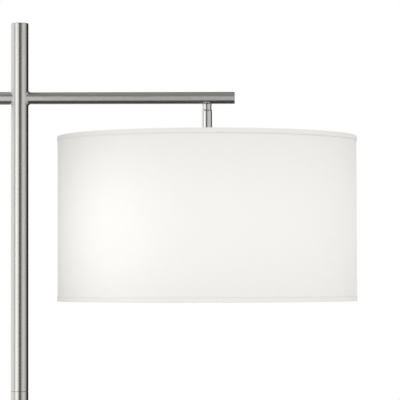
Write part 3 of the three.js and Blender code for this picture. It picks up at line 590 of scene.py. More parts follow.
@dataclass(frozen=True)
class Finish:
    """A finish with a slot in the record: a colour, a roughness and the parts that follow."""

    name: str
    slot: str
    color: Point
    roughness: float

    @cache
    def material(self) -> bpy.types.Material:
        """The finish's material, made the first time that it is asked for."""
        made = bpy.data.materials.new(f"{self.name}_finish")
        made.use_nodes = True
        graph = Graph(made.node_tree)
        shader = made.node_tree.nodes["Principled BSDF"]
        shader.inputs["Base Color"].default_value = (*self.color, 1)
        shader.inputs["Roughness"].default_value = self.roughness
        self.dress(graph, shader)
        made.diffuse_color = (*self.color, 1)
        return made

    def dress(self, graph: Graph, shader: bpy.types.Node) -> None:
        """Adds what the finish has beyond its colour and roughness."""

    def tint(self, share: float) -> tuple[float, float, float, float]:
        """The colour made lighter or darker by a share."""
        return (*(min(1.0, channel * share) for channel in self.color), 1.0)

    def bump(
        self, graph: Graph, shader: bpy.types.Node, height: Socket, depth: float, strength: float
    ) -> None:
        """Feeds a height in metres of depth to the shader's normal."""
        made = graph.node("ShaderNodeBump")
        made.inputs["Strength"].default_value = strength
        made.inputs["Distance"].default_value = depth
        graph.feed(made.inputs["Height"], height)
        graph.feed(shader.inputs["Normal"], made.outputs[0])

    def emit(
        self, graph: Graph, shader: bpy.types.Node, hue: Point, amount: Socket, strength: float = 1
    ) -> None:
        """Makes the surface glow in a hue, by an amount of light that changes over it."""
        graph.feed(shader.inputs["Emission Color"], graph.scaled(hue, amount))
        shader.inputs["Emission Strength"].default_value = strength


@dataclass(frozen=True)
class BrushedMetal(Finish):
    """Plated metal brushed across a line, which spreads its reflections along that line."""

    grain: Grain = Grain.UPRIGHT
    strokes: float = 900.0
    anisotropy: float = 0.85
    contrast: float = 0.03
    depth: float = 0.0000015
    bump_strength: float = 0.1
    smudge_scale: float = 22.0
    smudge_amount: float = 0.5
    smudged_tone: float = 0.97
    smudged_roughness: float = 0.02

    def dress(self, graph: Graph, shader: bpy.types.Node) -> None:
        """Strokes in tone, roughness and height, with smudges over them."""
        place = graph.object_place()
        x, y, z = graph.split(place)
        if self.grain is Grain.ALONG_ARM:
            along, around = x, graph.combine(y, z)
        else:
            along = z if self.grain is Grain.UPRIGHT else graph.from_axis(place)
            around = graph.combine(x, y)
        strokes = graph.group(
            Effect.brushing(),
            Along=along, Around=around, Strokes=self.strokes, Roughness=self.roughness,
        )
        smudge = graph.group(
            Effect.smudge(), Place=place, Scale=self.smudge_scale, Amount=self.smudge_amount
        )
        tone = graph.blend(
            strokes.outputs["Tone"], self.tint(1 - self.contrast), self.tint(1 + self.contrast)
        )
        color = graph.blend(smudge.outputs[0], tone, self.tint(self.smudged_tone))
        graph.feed(shader.inputs["Base Color"], color)
        rough = graph.math(
            "MULTIPLY_ADD", smudge.outputs[0], self.smudged_roughness, strokes.outputs["Roughness"]
        )
        graph.feed(shader.inputs["Roughness"], rough)
        shader.inputs["Metallic"].default_value = 1.0
        shader.inputs["Anisotropic"].default_value = self.anisotropy
        tangent = graph.node("ShaderNodeTangent", direction_type="UV_MAP", uv_map=UV_NAME)
        graph.feed(shader.inputs["Tangent"], tangent.outputs[0])
        self.bump(graph, shader, strokes.outputs["Height"], self.depth, self.bump_strength)


@dataclass(frozen=True)
class PlainMetal(Finish):
    """Turned, plated or painted metal with a faint grain and smudges."""

    metallic: float = 1.0
    grain_scale: float = 900.0
    depth: float = 0.00003
    smudge_scale: float = 45.0
    smudged_tone: float = 0.88
    smudged_roughness: float = 0.12

    def dress(self, graph: Graph, shader: bpy.types.Node) -> None:
        """Cloudy tone and roughness, with a fine height."""
        place = graph.object_place()
        smudge = graph.group(Effect.smudge(), Place=place, Scale=self.smudge_scale, Amount=1.0)
        color = graph.blend(smudge.outputs[0], self.tint(1.0), self.tint(self.smudged_tone))
        graph.feed(shader.inputs["Base Color"], color)
        rough = graph.math(
            "MULTIPLY_ADD", smudge.outputs[0], self.smudged_roughness, self.roughness
        )
        graph.feed(shader.inputs["Roughness"], rough)
        shader.inputs["Metallic"].default_value = self.metallic
        self.bump(graph, shader, graph.noise(place, self.grain_scale, 3.0), self.depth, 0.3)


@dataclass(frozen=True)
class Moulded(Finish):
    """Plastic, rubber, porcelain or felt: a fine surface height and a slight change of tone."""

    grain_scale: float = 700.0
    depth: float = 0.00005
    sheen: float = 0.0
    coat: float = 0.0
    tone: float = 0.9

    def dress(self, graph: Graph, shader: bpy.types.Node) -> None:
        """Noise in tone and height."""
        place = graph.object_place()
        grain = graph.noise(place, self.grain_scale, 4.0)
        color = graph.blend(grain, self.tint(self.tone), self.tint(1.06))
        graph.feed(shader.inputs["Base Color"], color)
        rough = graph.remap(grain, 0.3, 0.7, self.roughness - 0.05, self.roughness + 0.05)
        graph.feed(shader.inputs["Roughness"], rough)
        shader.inputs["Sheen Weight"].default_value = self.sheen
        shader.inputs["Coat Weight"].default_value = self.coat
        shader.inputs["Coat Roughness"].default_value = 0.12
        self.bump(graph, shader, grain, self.depth, 0.6)


@dataclass(frozen=True)
class Lamplight:
    """Where the two bulbs are, and how their light falls on the shade's wall."""

    first: Point
    second: Point
    nearest: float
    axis_x: float
    fade: float = 0.055

    def on(self, graph: Graph, place: Socket, base: float, gain: float) -> Socket:
        """The light at a place, from the glow effect."""
        made = graph.group(
            Effect.glow(),
            Place=place, First=self.first, Second=self.second,
            Nearest=self.nearest, Base=base, Gain=gain, Fade=self.fade,
        )
        return made.outputs["Light"]

    def centred(self, graph: Graph, place: Socket) -> Socket:
        """A place measured from the stem's axis."""
        return graph.vector("SUBTRACT", place, (self.axis_x, 0.0, 0.0))


@dataclass(frozen=True)
class Linen(Finish):
    """Fine plain-woven cloth on a stiff backing, which glows with the bulbs' light behind it."""

    light: Lamplight | None = None
    base: float = 0.235
    gain: float = 0.4
    warmth: Point = (1.0, 0.987, 0.95)
    yarns: float = 1500.0
    depth: float = 0.00006
    # Painted shade beside each hem: the hems' heights, the share of colour and glow left there, the
    # dark tone mixed into the colour, and how far it reaches
    hems: tuple[float, float] = (0.0, 0.0)
    hem_shade: float = 0.84
    hem_shade_tone: float = 0.2
    hem_reach: float = 0.0018

    def hem(self, graph: Graph, level: Socket) -> Socket:
        """Share of the light left beside each hem, where the folded edge shades the cloth."""
        shares = []
        for hem in self.hems:
            away = graph.math("ABSOLUTE", graph.math("SUBTRACT", level, hem))
            shares.append(graph.remap(away, 0.0, self.hem_reach, self.hem_shade, 1.0))
        return graph.math("MULTIPLY", *shares)

    def dress(self, graph: Graph, shader: bpy.types.Node) -> None:
        """Weave and slubs in tone and height, the bulbs' light as emission, and painted shade
        beside each hem.
        """
        place = graph.object_place()
        centred = self.light.centred(graph, place)
        x, y, z = graph.split(centred)
        turn = graph.math("MULTIPLY", graph.math("ARCTAN2", y, x), graph.from_axis(centred))
        cloth = graph.group(Effect.weave(), Round=turn, Up=z, Yarns=self.yarns)
        slub = graph.remap(cloth.outputs["Slub"], 0.3, 0.7, 0.0, 1.0)
        tone = graph.blend(slub, self.tint(0.97), self.tint(1.015))
        # Painted shade: the colour darkens beside each hem.
        color = graph.blend(self.hem(graph, z), self.tint(self.hem_shade_tone), tone)
        graph.feed(shader.inputs["Base Color"], color)
        shader.inputs["Sheen Weight"].default_value = 0.08
        shader.inputs["Sheen Roughness"].default_value = 0.5
        shader.inputs["Specular IOR Level"].default_value = 0.2
        light = self.light.on(graph, place, self.base, self.gain)
        thin = graph.remap(cloth.outputs["Slub"], 0.3, 0.7, 0.985, 1.015)
        # The glow is dimmed beside each hem as well: painted shade.
        glow = graph.math("MULTIPLY", graph.math("MULTIPLY", light, thin), self.hem(graph, z))
        self.emit(graph, shader, self.warmth, glow)
        height = graph.math("MULTIPLY_ADD", cloth.outputs["Slub"], 1.4, cloth.outputs["Height"])
        self.bump(graph, shader, height, self.depth, 0.5)


@dataclass(frozen=True)
class Liner(Finish):
    """Satin backing sheet on the inside of the shade, brightly lit by the bulbs beside it."""

    light: Lamplight | None = None
    base: float = 0.3
    gain: float = 0.42
    warmth: Point = (1.0, 0.965, 0.89)

    def dress(self, graph: Graph, shader: bpy.types.Node) -> None:
        """A soft mottle, and the bulbs' light as emission."""
        place = graph.object_place()
        mottle = graph.noise(place, 160.0, 3.0)
        color = graph.blend(mottle, self.tint(0.95), self.tint(1.03))
        graph.feed(shader.inputs["Base Color"], color)
        light = self.light.on(graph, place, self.base, self.gain)
        uneven = graph.remap(mottle, 0, 1, 0.97, 1.03)
        self.emit(graph, shader, self.warmth, graph.math("MULTIPLY", light, uneven))
        self.bump(graph, shader, mottle, 0.0001, 0.3)


@dataclass(frozen=True)
class LitGlass(Finish):
    """Coated glass of a bulb that is on: brightest at the globe and dimmer at the neck."""

    light: Lamplight | None = None
    strength: float = 1.2
    warmth: Point = (1.0, 0.94, 0.82)
    # Distances from the stem's axis where the glow starts and is full, in metres
    neck_reach: float = 0.068
    globe_reach: float = 0.105
    neck_share: float = 0.35

    def dress(self, graph: Graph, shader: bpy.types.Node) -> None:
        """Emission that falls off towards the neck, under a glossy skin."""
        place = graph.object_place()
        reach = graph.from_axis(self.light.centred(graph, place))
        bright = graph.remap(reach, self.neck_reach, self.globe_reach, self.neck_share, 1.0)
        frost = graph.noise(place, 500.0, 2.0)
        even = graph.math("MULTIPLY", bright, graph.remap(frost, 0.0, 1.0, 0.96, 1.04))
        self.emit(graph, shader, self.warmth, even, self.strength)
        shader.inputs["Coat Weight"].default_value = 0.6
        self.bump(graph, shader, frost, 0.00002, 0.2)


class Finishes:
    """Every finish of the lamp, by a maker's name."""

    def __init__(self, light: Lamplight, hems: tuple[float, float]) -> None:
        """Sets each finish's colour and roughness."""
        nickel = (0.61, 0.598, 0.572)
        self.pole = BrushedMetal("nickel_brushed_upright", "brushed_nickel", nickel, 0.27)
        # The arm's nickel is painted lighter than the pole's and the base's: painted light, for how
        # brightly the arm is lit.
        self.arm = BrushedMetal(
            "nickel_brushed_arm_painted_lighter", "brushed_nickel", (0.69, 0.677, 0.65), 0.34,
            grain=Grain.ALONG_ARM, anisotropy=0.9,
        )
        self.spun = BrushedMetal(
            "nickel_spun_base", "brushed_nickel", nickel, 0.3, grain=Grain.SPUN, strokes=1400.0
        )
        self.bright = BrushedMetal(
            "nickel_bright", "polished_nickel", (0.67, 0.66, 0.64), 0.16,
            strokes=1600.0, anisotropy=0.6, contrast=0.04, depth=0.000003,
        )
        # Polished nickel painted lighter than on the other bright parts: a painted highlight on the
        # collar's bead.
        self.bead_highlight = PlainMetal("nickel_bead_painted_highlight", "polished_nickel", (0.9, 0.89, 0.86), 0.4)
        self.zinc = PlainMetal("zinc_plate", "zinc_steel", (0.56, 0.56, 0.545), 0.36)
        self.iron = PlainMetal(
            "cast_iron_paint", "cast_iron", (0.05, 0.05, 0.053), 0.75,
            metallic=0.2, grain_scale=260.0, depth=0.0004,
        )
        self.wire = PlainMetal(
            "white_powder_coat", "white_wire", (0.83, 0.825, 0.8), 0.42, metallic=0.0
        )
        self.brass = PlainMetal("bulb_brass", "bulb_brass", (0.75, 0.63, 0.36), 0.28)
        self.felt = Moulded(
            "black_felt", "felt", (0.028, 0.028, 0.031), 0.95, depth=0.0005, sheen=0.4, tone=0.6
        )
        self.rubber = Moulded("gland_rubber", "gland_rubber", (0.02, 0.02, 0.02), 0.62)
        self.lead = Moulded(
            "lead_insulation", "lead_insulation", (0.78, 0.77, 0.72), 0.42, depth=0.00001
        )
        self.porcelain = Moulded(
            "glazed_porcelain", "porcelain", (0.86, 0.85, 0.8), 0.3, coat=0.8, tone=0.97
        )
        black = (0.022, 0.022, 0.023)
        self.plastic = Moulded("black_switch_plastic", "switch_plastic", black, 0.42)
        self.linen, self.trim = (
            Linen(name, name, color, 0.92, light=light, hems=hems)
            for name, color in (
                ("shade_linen", (0.82, 0.81, 0.785)), ("trim_linen", (0.81, 0.8, 0.775)),
            )
        )
        self.liner = Liner("shade_liner", "shade_liner", (0.86, 0.855, 0.83), 0.45, light=light)
        self.glass = LitGlass("bulb_glass_lit", "bulb_glass", (0.93, 0.92, 0.88), 0.25, light=light)


# ---------------------------------------------------------------- measuring the frame


@dataclass(frozen=True)
class Extent:
    """A node's box at rest, in millimetres."""

    low: Array
    high: Array

    @classmethod
    def of(cls, node: str) -> "Extent":
        """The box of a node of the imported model."""
        low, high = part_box(node)
        return cls(np.array(low) / MM, np.array(high) / MM)

    @property
    def middle(self) -> Array:
        """The centre of the box."""
        return (self.low + self.high) / 2

    @property
    def size(self) -> Array:
        """The box's size along each axis."""
        return self.high - self.low

    @property
    def upright(self) -> tuple[float, float, float]:
        """Radius, foot and top of a round node that stands upright."""
        return self.size[0] / 2, self.low[2], self.high[2]

    @property
    def level_radius(self) -> float:
        """Radius of a round node that lies level, which is half its height."""
        return self.size[2] / 2


def upright_axis(x: float) -> Axis:
    """A vertical axis at a distance along X in millimetres, with heights from the floor."""
    return Axis((x * MM, 0.0, 0.0))


@dataclass
class Assembly:
    """A group of pieces that are made, dressed and joined to their bodies together."""

    finishes: Finishes
    body: Body = Body.STAND
    axis: Axis = Axis((0.0, 0.0, 0.0))

    @staticmethod
    def settle(
        piece: bpy.types.Object, finish: Finish, body: Body, *replaced: str
    ) -> bpy.types.Object:
        """Dresses a piece, joins it to its body and hides the nodes that it stands for.

        The head is left out of what the metal beside it mirrors, as it is in a studio where the
        shade is lit on its own.
        """
        piece.data.materials.clear()
        piece.data.materials.append(finish.material())
        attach(piece, body.value)
        if replaced:
            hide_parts(*replaced)
        piece.visible_glossy = body not in (Body.HEAD, Body.KNOB)
        log.info("%s: %d faces on %s", piece.name, len(piece.data.polygons), body.value)
        return piece

    def turn(
        self,
        node: str,
        how: str,
        outline: Array,
        finish: Finish,
        sides: int = 96,
        axis: Axis | None = None,
        body: Body | None = None,
        ripple: Ripple | None = None,
    ) -> bpy.types.Object:
        """Turns the detailed piece that stands for a node.

        Args:
            node: The node, whose name starts the piece's name.
            how: How the piece is made, which ends its name.
            outline: Radius and height of each point, in metres.
            finish: The piece's finish.
            sides: Columns round the axis.
            axis: The axis, if it isn't the assembly's own.
            body: The body that it rides on, if it isn't the assembly's own.
            ripple: What threads, flutes or flats add to the radius.

        Returns:
            The piece, dressed and joined to its body.
        """
        made = revolve(f"{node}_{how}", outline, axis or self.axis, sides, ripple)
        return self.settle(made, finish, body or self.body, node)

    def keep(self, finish: Finish, *nodes: str) -> None:
        """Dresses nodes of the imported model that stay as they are."""
        for node in nodes:
            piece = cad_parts[node]
            piece.data.materials.clear()
            piece.data.materials.append(finish.material())
            log.info("%s: kept", node)


# ---------------------------------------------------------------- base and pole


@dataclass
class Base(Assembly):
    """Weighted round base: a spun cover over an iron disc on a felt pad, with the cord's gland."""

    rim_rounding: float = 3.6
    wall: float = 1.5
    lower_lip: float = 0.6
    felt_edge: float = 0.8
    # The gland's bore, neck and inner lip as shares of its flange's radius
    gland_shares: tuple[float, float, float] = (0.39, 0.66, 0.84)

    def build(self) -> None:
        """Makes the cover, the pad and the gland, and dresses what they hide."""
        self.cover()
        outline = bar_outline(*Extent.of("base_pad").upright, self.felt_edge)
        self.turn("base_pad", "felt", outline, self.finishes.felt, sides=128)
        self.gland()
        self.keep(self.finishes.iron, "base_weight")
        self.keep(self.finishes.zinc, "base_nipple", "base_washer", "base_lock_nut")

    def cover(self) -> None:
        """Spun cover: a shallow dish upside down, with a rounded rim and a rolled lower lip."""
        outer, low, high = Extent.of("base_cover").upright
        bore = Extent.of("pole_lower").upright[0] - 2 * self.wall
        inner = outer - self.wall
        outline = soft_outline(
            [
                (bore, high, 0.2),
                (outer, high, self.rim_rounding),
                (outer, low, self.lower_lip),
                (inner, low, self.lower_lip),
                (inner, high - self.wall, self.rim_rounding - self.wall),
                (bore, high - self.wall, 0.2),
            ],
            steps=12,
        )
        self.turn("base_cover", "spun", outline, self.finishes.spun, sides=192)

    def gland(self) -> None:
        """Rubber bushing at the back of the rim, with a domed flange round its bore."""
        extent, cover = Extent.of("cord_gland"), Extent.of("base_cover")
        radius, back, front = extent.size[0] / 2, extent.low[1], extent.high[1]
        axis = Axis((0.0, 0.0, extent.middle[2] * MM), along=Y_AXIS, zero=X_AXIS)
        bore, neck, lip = (share * radius for share in self.gland_shares)
        shelf, flange = back + 1.2, cover.high[1] + 0.2
        outline = soft_outline(
            [
                (bore, back, 0.2),
                (lip, back, 0.5),
                (lip, shelf, 0.2),
                (neck, shelf, 0.1),
                (neck, flange, 0.1),
                (radius, flange, 0.3),
                (radius * 0.8, front, 0.6),
                (bore, front, 0.4),
            ]
        )
        self.turn("cord_gland", "bushing", outline, self.finishes.rubber, sides=48, axis=axis)


@dataclass
class Pole(Assembly):
    """The upright tube in three sections, each with softly broken ends, and its top plug."""

    wall: float = 1.5
    seam_edge: float = 0.35
    top_edge: float = 0.9
    press_fit: float = 0.2
    sides: int = 128

    def build(self) -> None:
        """Makes the three sections and the plug, and dresses the couplers and the lead."""
        for node in ("pole_lower", "pole_middle", "pole_upper"):
            outer, low, high = Extent.of(node).upright
            top = self.top_edge if node == "pole_upper" else self.seam_edge
            inner = outer - self.wall
            outline = soft_outline(
                [
                    (inner, low, 0.1),
                    (outer, low, self.seam_edge),
                    (outer, high, top),
                    (inner, high, 0.2),
                ]
            )
            self.turn(node, "tube", outline, self.finishes.pole, self.sides)
        radius, low, high = Extent.of("pole_top_plug").upright
        outline = bar_outline(radius + self.press_fit, low, high, 0.4)
        made = revolve("pole_top_disc", outline, self.axis, sides=self.sides)
        self.settle(made, self.finishes.spun, self.body, "pole_top_plug")
        self.keep(self.finishes.zinc, "pole_foot_insert", "pole_coupler_1", "pole_coupler_2")
        self.keep(self.finishes.lead, "internal_lead")


@dataclass
class CrossArm(Assembly):
    """The long arm and its short counterpart, each run into the pole with a smooth weld."""

    wall: float = 1.2
    long_weld: float = 3.2
    short_weld: float = 1.6
    edge: float = 0.7
    press_fit: float = 0.1
    plug_proud: float = 0.25
    # Rows beside a rounding, so that what is straight keeps flat shading
    guard: float = 0.4
    inner_edge: float = 0.15
    sides: int = 160
    weld_steps: int = 10

    def build(self) -> None:
        """Makes both arms and their plugs."""
        self.arm("cross_arm", "arm_end_plug", self.long_weld, 1)
        self.arm("cross_stub", "stub_end_plug", self.short_weld, -1)
        self.keep(self.finishes.zinc, "arm_swivel_nut")

    def arm(self, node: str, plug_node: str, weld: float, way: int) -> None:
        """An arm from the pole's wall out to its end, and the plug that closes it."""
        extent = Extent.of(node)
        radius = extent.level_radius
        height = extent.middle[2]
        reach = extent.high[0] if way > 0 else -extent.low[0]
        grid, lengths = self.welded_tube(radius, reach, weld)
        grid = (grid * (way, 1, 1) + (0, 0, height)) * MM
        made = woven(f"{node}_tube", grid, np.zeros(len(grid), bool), lengths * MM)
        # The arm's finish is its nickel painted lighter: painted light.
        self.settle(made, self.finishes.arm, self.body, node)
        plug = Extent.of(plug_node)
        axis = Axis((0.0, 0.0, height * MM), along=(float(way), 0.0, 0.0), zero=Y_AXIS)
        ends = sorted(abs(x) for x in (plug.low[0], plug.high[0]))
        bore = radius - self.wall
        outline = bar_outline(bore + self.press_fit, ends[0], ends[1] + self.plug_proud, 0.4)
        self.turn(plug_node, "disc", outline, self.finishes.bright, axis=axis)

    def welded_tube(self, radius: float, reach: float, weld: float) -> tuple[Array, Array]:
        """Grid of a tube along X whose root runs into the pole.

        The weld is rolled: a ball of its radius touches the arm and the pole at once, so its
        centre is the pole's radius plus its own from the pole's axis, and the arm's radius plus
        its own from the arm's axis. Round the arm by an angle a, the centre is at
        y = (arm + ball) cos a, z = (arm + ball) sin a and x = sqrt((pole + ball)^2 - y^2), and the
        weld is the arc about it between the two points where the ball touches.

        Args:
            radius: Radius of the arm, in millimetres.
            reach: Distance from the pole's axis to the arm's end.
            weld: Radius of the rolled weld.

        Returns:
            The points, (rows, sides, 3), and the distance along the outline at each row.
        """
        pole = Extent.of("pole_upper").upright[0]
        angle = np.linspace(0, 2 * np.pi, self.sides, endpoint=False)
        ring = np.stack([np.zeros_like(angle), np.cos(angle), np.sin(angle)], -1)
        centre = ring * (radius + weld)
        centre[:, 0] = np.sqrt((pole + weld) ** 2 - centre[:, 1] ** 2)
        to_arm = -ring
        to_pole = -unit(centre * (1, 1, 0))
        sweep = np.arccos(np.clip((to_arm * to_pole).sum(-1, keepdims=True), -1, 1))
        share = np.linspace(1, 0, self.weld_steps + 1)[:, None, None]
        arcs = np.sin((1 - share) * sweep) * to_arm + np.sin(share * sweep) * to_pole
        weld_rows = centre + weld * (arcs / np.sin(sweep))
        bore = radius - self.wall
        bend = np.linspace(0, np.pi / 2, 7)
        edge_x = reach - self.edge * (1 - np.sin(bend))
        edge_r = radius - self.edge * (1 - np.cos(bend))
        last_x = [reach, reach - self.inner_edge]
        along_x = np.concatenate([[reach - self.edge - self.guard], edge_x, last_x])
        along_r = np.concatenate([[radius], edge_r, [bore + self.inner_edge, bore]])
        outer_rows = ring * along_r[:, None, None] + np.array(X_AXIS) * along_x[:, None, None]
        guard_row = weld_rows[-1:] + np.array(X_AXIS) * self.guard
        root = ring * bore
        root[:, 0] = np.sqrt(pole**2 - root[:, 1] ** 2) + 0.2
        grid = np.concatenate([weld_rows, guard_row, outer_rows, root[None]])
        return grid, outline_lengths(grid[:, self.sides // 4])


# ---------------------------------------------------------------- swivel and stem


@dataclass
class Swivel(Assembly):
    """Collar under the arm, waisted neck that turns on it, and the stem that hangs in the neck."""

    body: Body = Body.SWIVEL
    # The collar's pin, foot and flare as shares of its widest radius
    collar_shares: tuple[float, float, float] = (0.45, 0.66, 0.84)
    bead: float = 0.6
    bead_sunk: float = 0.3
    neck_wall: float = 1.3
    waisting: float = 0.6
    undercut: float = 0.9
    undercut_rise: float = 1.3
    lip: float = 0.15
    neck_steps: int = 14
    stem_wall: float = 2.1
    ball_under_stem: float = 0.3
    running_gap: float = 0.4

    def build(self) -> None:
        """Makes the collar, the neck, its screws and the stem."""
        self.collar_box, self.neck_box = Extent.of("swivel_collar"), Extent.of("swivel_neck")
        self.stem_box, self.arm_box = Extent.of("stem_tube"), Extent.of("cross_arm")
        self.axis = upright_axis(self.stem_box.middle[0])
        self.pivot = Extent.of("pivot_screw_right").middle[2]
        self.stem_radius = self.stem_box.size[0] / 2
        self.collar()
        self.neck()
        self.screws()
        self.stem()
        self.keep(self.finishes.zinc, "swivel_tongue")
        self.keep(self.finishes.lead, "stem_lead")

    def collar(self) -> None:
        """Spindle that flares up to the arm, and the bead brazed round it where they meet, its
        nickel painted lighter as a painted highlight.

        The bead's middle line lies on the arm: at an angle a it is (w cos a, d sin a) across and
        -sqrt(R^2 - (d sin a)^2) from the arm's axis, with R a little inside the arm's radius.
        """
        radius, arm = self.collar_box.size[1] / 2, self.arm_box.level_radius
        face = self.neck_box.high[2] + self.running_gap
        low, level = self.collar_box.low[2], self.arm_box.middle[2]
        pin, foot, flare = (share * radius for share in self.collar_shares)
        outline = soft_outline(
            [
                (0, low, 0),
                (pin, low, 0.2),
                (pin, face, 0.1),
                (foot, face, 0.2),
                (flare, level - 0.8 * arm, 0.3),
                (flare, level - 0.6 * arm, 0.2),
                (0, level - 0.5 * arm, 0),
            ]
        )
        self.turn("swivel_collar", "spindle", outline, self.finishes.bright, body=Body.STAND)
        angle = np.linspace(0, 2 * np.pi, 96, endpoint=False)
        wide, deep = radius - self.bead - 0.15, 0.8 * radius
        across = np.stack([wide * np.cos(angle), deep * np.sin(angle)], -1)
        seat = arm - self.bead_sunk
        height = level - np.sqrt(seat**2 - across[:, 1] ** 2)
        path = np.concatenate([across, height[:, None]], 1) * MM + np.array(self.axis.origin)
        made = carry("swivel_collar_bead", circle(self.bead * MM, 16), path, Z_AXIS, loop=True)
        # The bead's lighter nickel is a painted highlight.
        self.settle(made, self.finishes.bead_highlight, Body.STAND)

    def neck(self) -> None:
        """Waisted neck: its radius is the waist's plus a square of the distance from the waist.

        Below the rim the wall is cut back by the undercut, which leaves a dark line above the
        stem, and inside it runs on the ball: the pivot's height less sqrt(ball^2 - radius^2).
        """
        top = self.neck_box.high[2]
        ball = self.stem_radius + self.ball_under_stem
        rim = self.neck_box.size[0] / 2
        waist, crown = rim - self.waisting, rim - 0.12
        bore = waist - self.neck_wall
        rim_z = self.pivot - math.sqrt(ball**2 - rim**2)
        height = np.linspace(top - 0.5, rim_z + 0.05, self.neck_steps)
        share = 2 * (height - height[0]) / (height[-1] - height[0]) - 1
        lean = share**2 * np.where(share < 0, crown - waist, rim - waist)
        side = [(waist + gain, z, 0) for gain, z in zip(lean, height)]
        neck_in = rim - self.undercut
        zone = np.linspace(neck_in, bore, 6)
        ball_points = [(r, self.pivot - math.sqrt(ball**2 - r**2), 0) for r in zone]
        roof, pin_hole = top - self.neck_wall, 0.52 * rim
        outline = soft_outline(
            [
                (bore, roof, 0),
                (pin_hole, roof, 0),
                (pin_hole, top, 0.1),
                (crown - 0.45, top, 0),
                (crown - 0.1, top - 0.15, 0),
                *side,
                (neck_in, rim_z - self.undercut_rise, 0),
                *ball_points,
            ]
        )
        self.turn("swivel_neck", "turned", outline, self.finishes.bright)

    def screws(self) -> None:
        """Headless pivot screws, each with a dimpled outer end."""
        stem_x = self.stem_box.middle[0]
        for node, way in (("pivot_screw_right", 1.0), ("pivot_screw_left", -1.0)):
            extent = Extent.of(node)
            radius = extent.level_radius
            near, far = sorted(abs(x - stem_x) for x in (extent.low[0], extent.high[0]))
            axis = Axis((stem_x * MM, 0.0, self.pivot * MM), along=(way, 0.0, 0.0), zero=Y_AXIS)
            outline = soft_outline(
                [
                    (0, near, 0),
                    (radius * 0.6, near, 0.1),
                    (radius, near + 0.5, 0.1),
                    (radius, far, 0.15),
                    (radius * 0.55, far, 0.05),
                    (0, far - 0.4, 0),
                ],
                steps=3,
            )
            self.turn(node, "headless", outline, self.finishes.zinc, sides=24, axis=axis)

    def stem(self) -> None:
        """Bright stem whose top is a cup struck about the pivot, a running gap outside the ball."""
        cup = self.stem_radius + self.ball_under_stem + self.running_gap
        bore = self.stem_radius - self.stem_wall
        zone = np.linspace(self.stem_radius - self.lip, bore, 6)
        cup_points = [(r, self.pivot - math.sqrt(cup**2 - r**2), 0) for r in zone]
        low = self.stem_box.low[2]
        outline = soft_outline(
            [
                (bore, low, 0.1),
                (self.stem_radius, low, 0.3),
                (self.stem_radius, cup_points[0][1] - self.lip, 0),
                *cup_points,
            ]
        )
        self.turn("stem_tube", "bright", outline, self.finishes.bright, body=Body.HEAD)


# ---------------------------------------------------------------- shade


